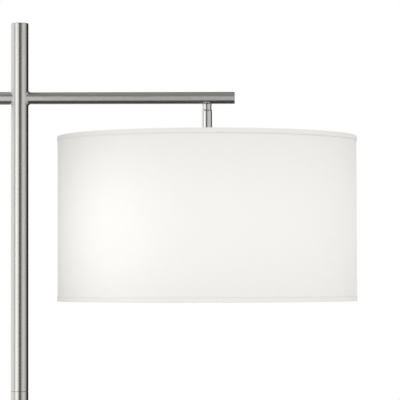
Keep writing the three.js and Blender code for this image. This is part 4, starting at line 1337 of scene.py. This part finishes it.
@dataclass
class Shade(Assembly):
    """Drum shade: linen on a stiff liner, trims folded over two wire rings, and its spider."""

    body: Body = Body.HEAD
    sides: int = 288
    rows: int = 24
    linen_thickness: float = 0.5
    liner_thickness: float = 0.6
    seam_width: float = 11.0
    seam_rise: float = 0.35
    trim_fold: float = 0.35
    trim_tuck: float = 6.0
    ring_wire: float = 2.0
    arm_wire: float = 1.6
    hub_bore: float = 5.1
    hub_dish: float = 0.08

    def build(self) -> None:
        """Makes the wall, its seam, the trims, the wires and the spider."""
        self.fabric_box = Extent.of("shade_fabric")
        self.axis = upright_axis(self.fabric_box.middle[0])
        linen = self.wall(
            "shade_fabric", "shade_linen_wall", self.finishes.linen, self.linen_thickness
        )
        self.wall("shade_liner", "shade_liner_wall", self.finishes.liner, self.liner_thickness)
        edging = [self.seam(), self.trim("shade_trim_top", 1), self.trim("shade_trim_bottom", -1)]
        for node in ("shade_ring_top", "shade_ring_bottom"):
            self.ring(node)
        self.spider()

    def wall(self, node: str, name: str, finish: Finish, thickness: float) -> bpy.types.Object:
        """A layer of the wall, with rows up its height so that it can be cut and lit finely."""
        outer, low, high = Extent.of(node).upright
        inner = outer - thickness
        height = np.linspace(low, high, self.rows)
        sides = [upright_rows(outer, height), upright_rows(inner, height[::-1])]
        made = revolve(name, np.concatenate(sides) * MM, self.axis, sides=self.sides)
        return self.settle(made, finish, self.body, node)

    def seam(self) -> bpy.types.Object:
        """Overlap of the linen, a thin strip up the back of the wall with its cut edge showing."""
        outer = self.fabric_box.size[0] / 2
        half = self.seam_width / 2 / outer
        turn = np.linspace(np.pi / 2 - half, np.pi / 2 + half, 25)
        low, high = self.fabric_box.low[2] + 0.5, self.fabric_box.high[2] - 0.5
        radius = (outer + self.seam_rise / 2) * MM
        middle = (low + high) / 2 * MM
        path = self.axis.at(np.full(turn.shape, radius), turn, np.full(turn.shape, middle))
        half_rise, half_height = self.seam_rise / 2 * MM, (high - low) / 2 * MM
        section = np.array([(-1, -1), (1, -1), (1, 1), (-1, 1)]) * (half_rise, half_height)
        made = carry("shade_linen_overlap", section, path, Z_AXIS, loop=False)
        return self.settle(made, self.finishes.linen, self.body)

    def trim(self, node: str, up: int) -> bpy.types.Object:
        """Trim folded over an edge: down the outside, over the wire, and tucked in under it."""
        extent = Extent.of(node)
        outer = extent.size[0] / 2
        edge, hem = (extent.high[2], extent.low[2]) if up > 0 else (extent.low[2], extent.high[2])
        ring = Extent.of("shade_ring_top").upright[0]
        inside = ring - 2 * self.ring_wire - 0.5
        fold, tucked = self.trim_fold, edge - up * self.trim_tuck
        outline = soft_outline(
            [
                (outer - fold, hem, 0.05),
                (outer, hem, 0.12),
                (outer, edge, 0.7),
                (inside, edge, 1.4),
                (inside, tucked, 0.12),
                (inside + fold, tucked, 0.05),
                (inside + fold, edge - up * fold, 1.0),
                (outer - fold, edge - up * fold, 0.3),
            ],
            steps=5,
        )
        return self.turn(node, "folded", outline, self.finishes.trim, self.sides)

    def ring(self, node: str) -> None:
        """Round wire in a ring, carried round the shade's axis."""
        extent = Extent.of(node)
        radius = extent.size[0] / 2 - self.ring_wire
        angle = np.linspace(0, 2 * np.pi, self.sides, endpoint=False)
        level = np.full(angle.shape, extent.middle[2] * MM)
        path = self.axis.at(np.full(angle.shape, radius * MM), angle, level)
        made = carry(f"{node}_wire", circle(self.ring_wire * MM, 12), path, Z_AXIS, loop=True)
        self.settle(made, self.finishes.wire, self.body, node)

    def spider(self) -> None:
        """Hub, arms and check ring that, with a lock nut, hold the shade on the drop tube."""
        hub = Extent.of("spider_hub")
        radius, low, high = hub.upright
        bore, raised = self.hub_bore, high + self.hub_dish
        outline = soft_outline(
            [
                (bore, low, 0.1),
                (radius, low, 0.4),
                (radius, high, 0.4),
                (radius * 0.72, high, 0.6),
                (radius * 0.66, raised, 0.0),
                (bore, raised, 0.1),
            ]
        )
        self.turn("spider_hub", "disc", outline, self.finishes.wire)
        for node in ("spider_arm_1", "spider_arm_2", "spider_arm_3"):
            self.spider_arm(node, hub)
        outer, low, high = Extent.of("check_ring").upright
        outline = tube_outline(outer, bore, low, high, 0.6)
        self.turn("check_ring", "turned", outline, self.finishes.bright)

    def spider_arm(self, node: str, hub: Extent) -> None:
        """Wire from the hub, straight out and then up to the top ring round a smooth bend."""
        extent, ring = Extent.of(node), Extent.of("shade_ring_top")
        across = extent.middle[:2] - self.fabric_box.middle[:2]
        turn = math.atan2(across[1], across[0])
        turn = math.radians(round(math.degrees(turn) / 30) * 30)
        ring_radius, level = ring.size[0] / 2 - self.ring_wire, hub.middle[2]
        rise = ring.middle[2] - level
        reach = ring_radius - 1.0
        start = hub.size[0] / 2 - 1.5
        corner = reach - rise
        share = np.linspace(0, 1, 15)[:, None]
        first, bend, last = np.array([[corner - 8, 0], [corner, 0], [corner + 5, 5]])
        curve = (1 - share) ** 2 * first + 2 * share * (1 - share) * bend + share**2 * last
        flat = np.concatenate([[[start, 0.0]], curve, [[reach - 1.2, rise - 1.2]]]) * MM
        angle = np.full(len(flat), turn)
        path = self.axis.at(flat[:, 0], angle, flat[:, 1] + level * MM)
        normal = (-math.sin(turn), math.cos(turn), 0.0)
        made = carry(f"{node}_wire", circle(self.arm_wire * MM, 12), path, normal, loop=False)
        self.settle(made, self.finishes.wire, self.body, node)


# ---------------------------------------------------------------- cluster and bulbs


@dataclass
class Cluster(Assembly):
    """Cup with two lamp holders and their bulbs, the tube it hangs on, and its turn switch."""

    body: Body = Body.HEAD
    thread_pitch: float = 1.0
    thread_depth: float = 0.22
    bulb_thread_pitch: float = 3.6
    bulb_thread_depth: float = 0.55
    tube_bore: float = 3.2
    bore: float = 5.0
    nut_rows: int = 9
    chamfer: float = 0.7
    cup_wall: float = 1.2
    cup_hole: float = 4.8
    socket_wall: float = 1.0
    socket_hole: float = 5.1
    bead: float = 0.45
    bead_width: float = 0.8
    mouth: float = 13.6
    bulb_length: float = 108.0
    thread_length: float = 24.0
    thread_rows: int = 50
    tip_height: float = 3.0
    # How far a flare's handles reach along it, and the glass's inner size at the dome
    flare_handle: float = 0.42
    dome_share: float = 0.967
    knurls: int = 36
    knurl_depth: float = 0.25
    flutes: int = 18
    flute_depth: float = 0.35

    def build(self) -> None:
        """Makes the tube, the nuts, the cup, the sockets, the bulbs and the switch."""
        self.cup_box = Extent.of("cluster_cup")
        self.axis = upright_axis(self.cup_box.middle[0])
        self.level = self.cup_box.middle[2]
        self.drop_tube()
        for node in ("hub_lock_nut", "cluster_lock_nut"):
            self.nut(node)
        self.cup()
        for number in (1, 2):
            self.socket(number)
        self.switch()

    def drop_tube(self) -> None:
        """Threaded tube: rows every eighth of a turn carry a helix of the thread's depth."""
        extent = Extent.of("drop_tube")
        outer, inner = extent.size[1] / 2, self.tube_bore
        height = np.arange(extent.low[2], extent.high[2], self.thread_pitch / 8)
        wall = upright_rows(outer - self.thread_depth, height)
        outline = np.concatenate([wall, [(inner, height[-1]), (inner, height[0])]]) * MM
        thread = on_rows(helix_ripple(self.thread_depth, self.thread_pitch), 0, len(wall))
        self.turn("drop_tube", "threaded", outline, self.finishes.zinc, sides=40, ripple=thread)

    def nut(self, node: str) -> None:
        """Hexagonal nut with chamfered corners."""
        extent = Extent.of(node)
        across, low, high = extent.size[1], extent.low[2], extent.high[2]
        wall = upright_rows(across / 2, np.linspace(low, high, self.nut_rows))
        outline = np.concatenate([[(self.bore, low)], wall, [(self.bore, high)]]) * MM
        flats = on_rows(hexagon_ripple(across, self.chamfer, low * MM, high * MM), 1, len(wall))
        self.turn(node, "hex", outline, self.finishes.zinc, sides=72, ripple=flats)

    def cup(self) -> None:
        """Pressed cup with a rounded floor, and its lid with a rolled edge."""
        radius, low, high = self.cup_box.upright
        wall, hole = self.cup_wall, self.cup_hole
        outline = soft_outline(
            [
                (hole, low, 0.1),
                (radius, low, 3.2),
                (radius, high, 0.3),
                (radius - wall, high, 0.1),
                (radius - wall, low + wall, 2.0),
                (hole, low + wall, 0.1),
            ]
        )
        self.turn("cluster_cup", "pressed", outline, self.finishes.bright)
        lid = Extent.of("cluster_lid")
        outline = soft_outline(
            [
                (self.bore, lid.low[2], 0.1),
                (radius, lid.low[2], 0.3),
                (radius, lid.high[2], 0.9),
                (radius * 0.7, lid.high[2] - 0.1, 0),
                (self.bore, lid.high[2], 0.2),
            ]
        )
        self.turn("cluster_lid", "pressed", outline, self.finishes.bright)

    def socket_axis(self, number: int) -> Axis:
        """Axis of a socket, outwards from the stem's axis towards its bulb."""
        glass = Extent.of(f"bulb_glass_{number}").middle - self.cup_box.middle
        way = unit(np.array([glass[0], glass[1], 0.0]))
        origin = (self.cup_box.middle[0] * MM, 0.0, self.level * MM)
        return Axis(origin, along=tuple(float(x) for x in way), zero=Z_AXIS)

    def stretch(self, node: str, axis: Axis) -> tuple[float, float]:
        """A turned node's nearest and farthest distance along a socket's axis.

        A cylinder of radius r between distances a and b along a level axis at 45 degrees spans
        b cos 45 + r cos 45 at its far side and a cos 45 - r cos 45 at its near side.
        """
        extent = Extent.of(node)
        radius = extent.level_radius
        way = np.abs(axis.along[0])
        spans = np.abs(np.stack([extent.low, extent.high])[:, 0] - self.cup_box.middle[0])
        return float(spans.min() / way + radius), float(spans.max() / way - radius)

    def socket(self, number: int) -> None:
        """A lamp holder and its bulb: cap, beaded shell, porcelain, screw shell and glass."""
        axis = self.socket_axis(number)
        radius = Extent.of(f"socket_shell_{number}").level_radius
        near, far = self.stretch(f"socket_shell_{number}", axis)
        start = self.cup_box.size[0] / 2 + 0.3
        inner, hole = radius - self.socket_wall, self.socket_hole
        outline = soft_outline(
            [
                (hole, start, 0.1),
                (radius, start, 4.0),
                (radius, near - 0.3, 0.3),
                (inner, near - 0.3, 0.1),
                (inner, start + self.socket_wall, 3.0),
                (hole, start + self.socket_wall, 0.1),
            ]
        )
        self.turn(f"socket_cap_{number}", "pressed", outline, self.finishes.bright, 72, axis)
        height = np.linspace(near, far, 60)
        wall = np.full(height.shape, radius - self.bead)
        for middle in (near + 3.5, far - 4.0):
            wall = wall + self.bead * np.exp(-(((height - middle) / self.bead_width) ** 2))
        outline = np.concatenate([np.stack([wall, height], -1), [(inner, far), (inner, near)]]) * MM
        self.turn(f"socket_shell_{number}", "beaded", outline, self.finishes.bright, 72, axis)
        self.holder(number, axis, radius - 1.3, far)
        self.bulb(number, axis)
        self.keep(self.finishes.zinc, f"socket_nipple_{number}")

    def holder(self, number: int, axis: Axis, radius: float, far: float) -> None:
        """Porcelain inside the shell, with a rounded mouth round the bulb's screw shell."""
        near = self.stretch(f"socket_core_{number}", axis)[0]
        floor, lip = near + 9, far - 2
        outline = soft_outline(
            [
                (0, near, 0),
                (radius, near, 0.8),
                (radius, lip, 0.9),
                (self.mouth, lip, 0.7),
                (self.mouth, floor, 0.3),
                (0, floor, 0),
            ]
        )
        self.turn(f"socket_core_{number}", "glazed", outline, self.finishes.porcelain, 72, axis)

    def bulb(self, number: int, axis: Axis) -> None:
        """Screw shell with a rolled thread, and the glass of the bulb."""
        radius = Extent.of(f"bulb_screw_{number}").level_radius
        far = self.stretch(f"bulb_screw_{number}", axis)[1]
        low = far - self.thread_length
        contact = low - self.tip_height
        rows = np.linspace(low + 1.0, far - 3.0, self.thread_rows)
        wall = upright_rows(radius - self.bulb_thread_depth, rows)
        tip = [(0, contact), (3.6, contact), (4.4, low - 2.2), (9.5, low - 0.6)]
        inner = radius - 0.8
        collar = [(radius, far - 1.5), (radius, far), (inner, far), (inner, far - 6), (0, far - 6)]
        outline = np.concatenate([tip, wall, collar]) * MM
        thread = helix_ripple(self.bulb_thread_depth, self.bulb_thread_pitch)
        thread = on_rows(thread, len(tip), len(wall))
        self.turn(
            f"bulb_screw_{number}", "rolled", outline, self.finishes.brass, 72, axis, ripple=thread
        )
        self.glass(number, axis, radius - 1.1, far - 1.0, contact + self.bulb_length)

    def glass(self, number: int, axis: Axis, neck: float, start: float, tip: float) -> None:
        """Glass of a bulb: a cubic flare from neck to globe, and a domed end with a thin wall.

        The flare is (1 - t)^3 a + 3 t (1 - t)^2 b + 3 t^2 (1 - t) c + t^3 d, with its handles b
        and c straight up the axis from the neck at a and down it from the globe's middle at d.

        Args:
            number: The bulb's number.
            axis: The socket's axis.
            neck: Radius of the neck, in millimetres.
            start: Where the glass leaves the screw shell, along the axis.
            tip: Where the glass ends.
        """
        globe = Extent.of(f"bulb_glass_{number}").level_radius
        centre = tip - globe
        share = np.linspace(0, 1, 16)[:, None]
        foot, handle = start + 8, (centre - start) * self.flare_handle
        control = np.array(
            [(neck, foot), (neck, foot + handle), (globe, centre - handle), (globe, centre)]
        )
        flare = (
            (1 - share) ** 3 * control[0] + 3 * share * (1 - share) ** 2 * control[1]
            + 3 * share**2 * (1 - share) * control[2] + share**3 * control[3]
        )
        turn = np.linspace(0, np.pi / 2, 20)[1:-1]
        dome = np.stack([globe * np.cos(turn), centre + globe * np.sin(turn)], -1)
        outside = np.concatenate([[(neck, start - 5)], flare, dome, [(0, tip)]])
        inner_dome, inner_flare = dome * (self.dome_share, 1) - (0, 1), flare - (1, 0)
        inside = [[(0, tip - 1)], inner_dome[::-1], inner_flare[::-1], [(neck - 1, start - 5)]]
        outline = np.concatenate([outside, *inside]) * MM
        self.turn(f"bulb_glass_{number}", "globe", outline, self.finishes.glass, 72, axis)

    def switch(self) -> None:
        """Ring nut with a knurled edge, and a fluted turn knob on its shaft."""
        outer, low, high = Extent.of("switch_ring_nut").upright
        wall = upright_rows(outer - self.knurl_depth, np.linspace(low + 0.3, high - 0.3, 5))
        edge, hole = outer - 2 * self.knurl_depth, self.cup_hole
        outline = np.concatenate([[(hole, low), (edge, low)], wall, [(edge, high), (hole, high)]])
        ripple = on_rows(fluted_ripple(self.knurl_depth, self.knurls), 2, len(wall))
        self.turn(
            "switch_ring_nut", "knurled", outline * MM, self.finishes.bright, 216, ripple=ripple
        )
        outer, low, high = Extent.of("switch_knob").upright
        wall = upright_rows(outer - 0.4, np.linspace(low + 1.4, high - 1.2, 9))
        dish = [(0, 0.5), (outer * 0.55, 0.4), (outer * 0.8, 0), (outer - 1.2, 0.15)]
        dish = [(radius, low + rise) for radius, rise in dish]
        rim, bore, socket = [(outer - 0.7, high - 0.3), (outer - 1.1, high)], 1.8, low + 4
        top = [*rim, (bore, high), (bore, socket), (0, socket)]
        outline = np.concatenate([dish, wall, top]) * MM
        ripple = on_rows(fluted_ripple(self.flute_depth, self.flutes), len(dish), len(wall))
        self.turn(
            "switch_knob", "fluted", outline, self.finishes.plastic, 180,
            body=Body.KNOB, ripple=ripple,
        )
        shaft = Extent.of("switch_shaft")
        outline = bar_outline(shaft.size[1] / 2, shaft.low[2], shaft.high[2], 0.2)
        self.turn("switch_shaft", "turned", outline, self.finishes.zinc, 32, body=Body.KNOB)
        self.keep(self.finishes.plastic, "switch_body")


# ---------------------------------------------------------------- studio


@dataclass
class Studio:
    """Camera, floor, soft lights, and the screens and surroundings that the metal mirrors."""

    distance: float = 3.2298
    field_of_view: float = 9.924
    eye_x: float = 0.25296
    eye_z: float = 1.21941
    tilt: float = 1.891
    roll: float = 0.1217
    sensor: float = 36.0
    floor_radius: float = 14.0
    floor_glow: float = 0.78
    floor_depth: float = 6.0
    soft_size: float = 1.4
    soft_color: Point = (1.0, 0.995, 0.985)
    ambient: float = 0.3
    # Brightness of the surroundings by direction: degrees round from the front towards the shade
    bands: tuple[tuple[float, float], ...] = (
        (-180, 0.4), (-150, 1.0), (-105, 1.14), (-86, 1.12), (-72, 0.75), (-58, 0.9),
        (-46, 0.8), (-30, 0.3), (-18, 0.19), (22, 0.21), (36, 0.36), (50, 0.58),
        (66, 0.82), (78, 0.9), (91, 0.56), (108, 0.16), (126, 0.02), (160, 0.03),
    )
    # Share of that brightness by degrees above the horizon
    heights: tuple[tuple[float, float], ...] = (
        (-90, 0.01), (-72, 0.03), (-58, 0.2), (-45, 0.55), (-30, 0.9), (-18, 1.0),
        (10, 1.0), (30, 0.88), (50, 0.74), (72, 0.58), (90, 0.34),
    )
    # Screens near the lamp that only metal mirrors: left and right ends and brightness
    screens: tuple[tuple[float, float, float], ...] = ((-0.64, -0.09, 1.1), (0.28, 0.95, 0.4))
    screen_y: float = -0.535
    screen_z: tuple[float, float] = (0.72, 1.78)
    # Soft lights for cloth and paint: place, power in watts
    soft_lights: tuple[tuple[Point, float], ...] = (
        ((2.3, -2.9, 2.3), 49.5), ((-2.7, -1.6, 1.9), 6.0), ((0.5, 3.4, 2.3), 44.0),
    )

    def build(self) -> None:
        """Sets up everything that isn't part of the lamp."""
        self.camera()
        self.floor()
        self.soft()
        self.screen_lights()
        self.surroundings()
        bpy.context.scene.view_settings.view_transform = "Standard"

    def camera(self) -> None:
        """A long lens at the height of the shade's foot, tipped up a little and barely rolled."""
        data = bpy.data.cameras.new("camera")
        data.sensor_width = self.sensor
        data.lens = self.sensor / 2 / math.tan(math.radians(self.field_of_view / 2))
        data.clip_start, data.clip_end = 0.1, 60.0
        camera = bpy.data.objects.new("camera", data)
        tip, lean = math.radians(self.tilt), math.radians(self.roll)
        ahead = Vector((0.0, math.cos(tip), math.sin(tip)))
        level, above = Vector(X_AXIS), Vector((0.0, -math.sin(tip), math.cos(tip)))
        right = level * math.cos(lean) - above * math.sin(lean)
        up = level * math.sin(lean) + above * math.cos(lean)
        turned = Matrix((right, up, -ahead)).transposed().to_4x4()
        camera.matrix_world = Matrix.Translation((self.eye_x, -self.distance, self.eye_z)) @ turned
        bpy.context.scene.collection.objects.link(camera)
        bpy.context.scene.camera = camera

    def floor(self) -> None:
        """A plain pale disc under the lamp, lit a little from within as a light table is."""
        edge, depth = self.floor_radius / MM, self.floor_depth
        top = soft_outline([(0, -depth, 0), (edge, -depth, 0), (edge, 0, 2), (0, 0, 0)])
        disc = revolve("studio_floor", top, upright_axis(0), sides=128)
        finish = Moulded(
            "studio_floor_paint", "floor", (0.3, 0.3, 0.295), 0.8, grain_scale=40.0, depth=0.0002
        )
        paint = finish.material()
        shader = paint.node_tree.nodes["Principled BSDF"]
        shader.inputs["Emission Color"].default_value = (1.0, 1.0, 0.99, 1.0)
        shader.inputs["Emission Strength"].default_value = self.floor_glow
        disc.data.materials.append(paint)
        disc.visible_glossy = disc.visible_diffuse = False

    def area_light(
        self, name: str, place: Point, width: float, height: float, power: float
    ) -> bpy.types.Object:
        """A flat light of a size and a power that the camera doesn't see, at a place."""
        data = bpy.data.lights.new(name, "AREA")
        data.shape, data.size, data.size_y, data.energy = "RECTANGLE", width, height, power
        light = bpy.data.objects.new(name, data)
        light.location = place
        light.visible_camera = False
        bpy.context.scene.collection.objects.link(light)
        return light

    def soft(self) -> None:
        """Soft lights round the lamp, which cloth and paint take and metal doesn't mirror."""
        target = Vector((Extent.of("shade_fabric").middle * MM).tolist())
        size = self.soft_size
        for number, (place, power) in enumerate(self.soft_lights, 1):
            light = self.area_light(f"soft_{number}", place, size, size, power)
            light.data.color = self.soft_color
            light.rotation_mode = "QUATERNION"
            light.rotation_quaternion = (target - light.location).to_track_quat("-Z", "Y")
            light.visible_glossy = False

    def screen_lights(self) -> None:
        """Upright screens before the lamp: each one's power is pi times its area and brightness."""
        low, high = self.screen_z
        for number, (left, right, brightness) in enumerate(self.screens, 1):
            place = ((left + right) / 2, self.screen_y, (low + high) / 2)
            width, height = right - left, high - low
            power = math.pi * width * height * brightness
            light = self.area_light(f"screen_{number}", place, width, height, power)
            light.rotation_euler = (math.radians(90), 0.0, 0.0)
            light.visible_diffuse = light.visible_transmission = False

    @staticmethod
    def ramp(
        graph: Graph, value: Socket, stops: Sequence[tuple[float, float]], low: float, high: float
    ) -> Socket:
        """A brightness that runs through stops as a direction's angle goes from low to high."""
        made = graph.node("ShaderNodeValToRGB")
        share = graph.remap(value, math.radians(low), math.radians(high), 0.0, 1.0)
        graph.feed(made.inputs[0], share)
        elements = made.color_ramp.elements
        made.color_ramp.interpolation = "EASE"
        tallest = max(level for _, level in stops)
        for number, (angle, level) in enumerate(stops):
            place = (angle - low) / (high - low)
            element = elements[number] if number < 2 else elements.new(place)
            element.position = place
            element.color = (*(level / tallest,) * 3, 1)
        return graph.math("MULTIPLY", made.outputs[0], tallest)

    def surroundings(self) -> None:
        """White for the camera, an even ambient for cloth, bright and dark screens for metal."""
        world = bpy.data.worlds.new("studio")
        bpy.context.scene.world = world
        world.use_nodes = True
        world.cycles.sampling_method = "NONE"
        graph = Graph(world.node_tree)
        x, y, z = graph.split(graph.node("ShaderNodeTexCoord").outputs["Generated"])
        round_angle = graph.math("ARCTAN2", x, graph.math("MULTIPLY", y, -1.0))
        height = graph.math("ARCSINE", z)
        screens = graph.math(
            "MULTIPLY",
            self.ramp(graph, round_angle, self.bands, -180, 180),
            self.ramp(graph, height, self.heights, -90, 90),
        )
        path = graph.node("ShaderNodeLightPath")
        soft = graph.blend(path.outputs["Is Glossy Ray"], (self.ambient,) * 3 + (1,), screens)
        shown = graph.blend(path.outputs["Is Camera Ray"], soft, (1.0, 1.0, 1.0, 1.0))
        graph.feed(world.node_tree.nodes["Background"].inputs[0], shown)


# ---------------------------------------------------------------- the lamp


def lamplight() -> Lamplight:
    """Places of the two globes' centres, and their nearest distance to the wall, from the frame."""
    cup, shade = Extent.of("cluster_cup"), Extent.of("shade_fabric")
    globes = []
    for number in (1, 2):
        glass = Extent.of(f"bulb_glass_{number}")
        globe = glass.level_radius
        way = np.sign(glass.middle[:2] - cup.middle[:2])
        far = np.where(way > 0, glass.high[:2], glass.low[:2])
        centre = (*(far - way * globe) * MM, cup.middle[2] * MM)
        globes.append(tuple(float(x) for x in centre))
    reach = math.dist(globes[0][:2], (cup.middle[0] * MM, 0.0))
    nearest = shade.size[0] / 2 * MM - reach
    return Lamplight(globes[0], globes[1], nearest, float(cup.middle[0] * MM))


def main() -> None:
    """Builds the studio and the lamp's assemblies in order."""
    logging.basicConfig(level=logging.INFO, format="%(name)s %(message)s")
    Studio().build()
    hems = (Extent.of("shade_trim_top").low[2] * MM, Extent.of("shade_trim_bottom").high[2] * MM)
    finishes = Finishes(lamplight(), hems)
    for assembly in (Base, Pole, CrossArm, Swivel, Shade, Cluster):
        assembly(finishes).build()
        log.info("%s done", assembly.__name__)


if __name__ == "__main__":
    main()
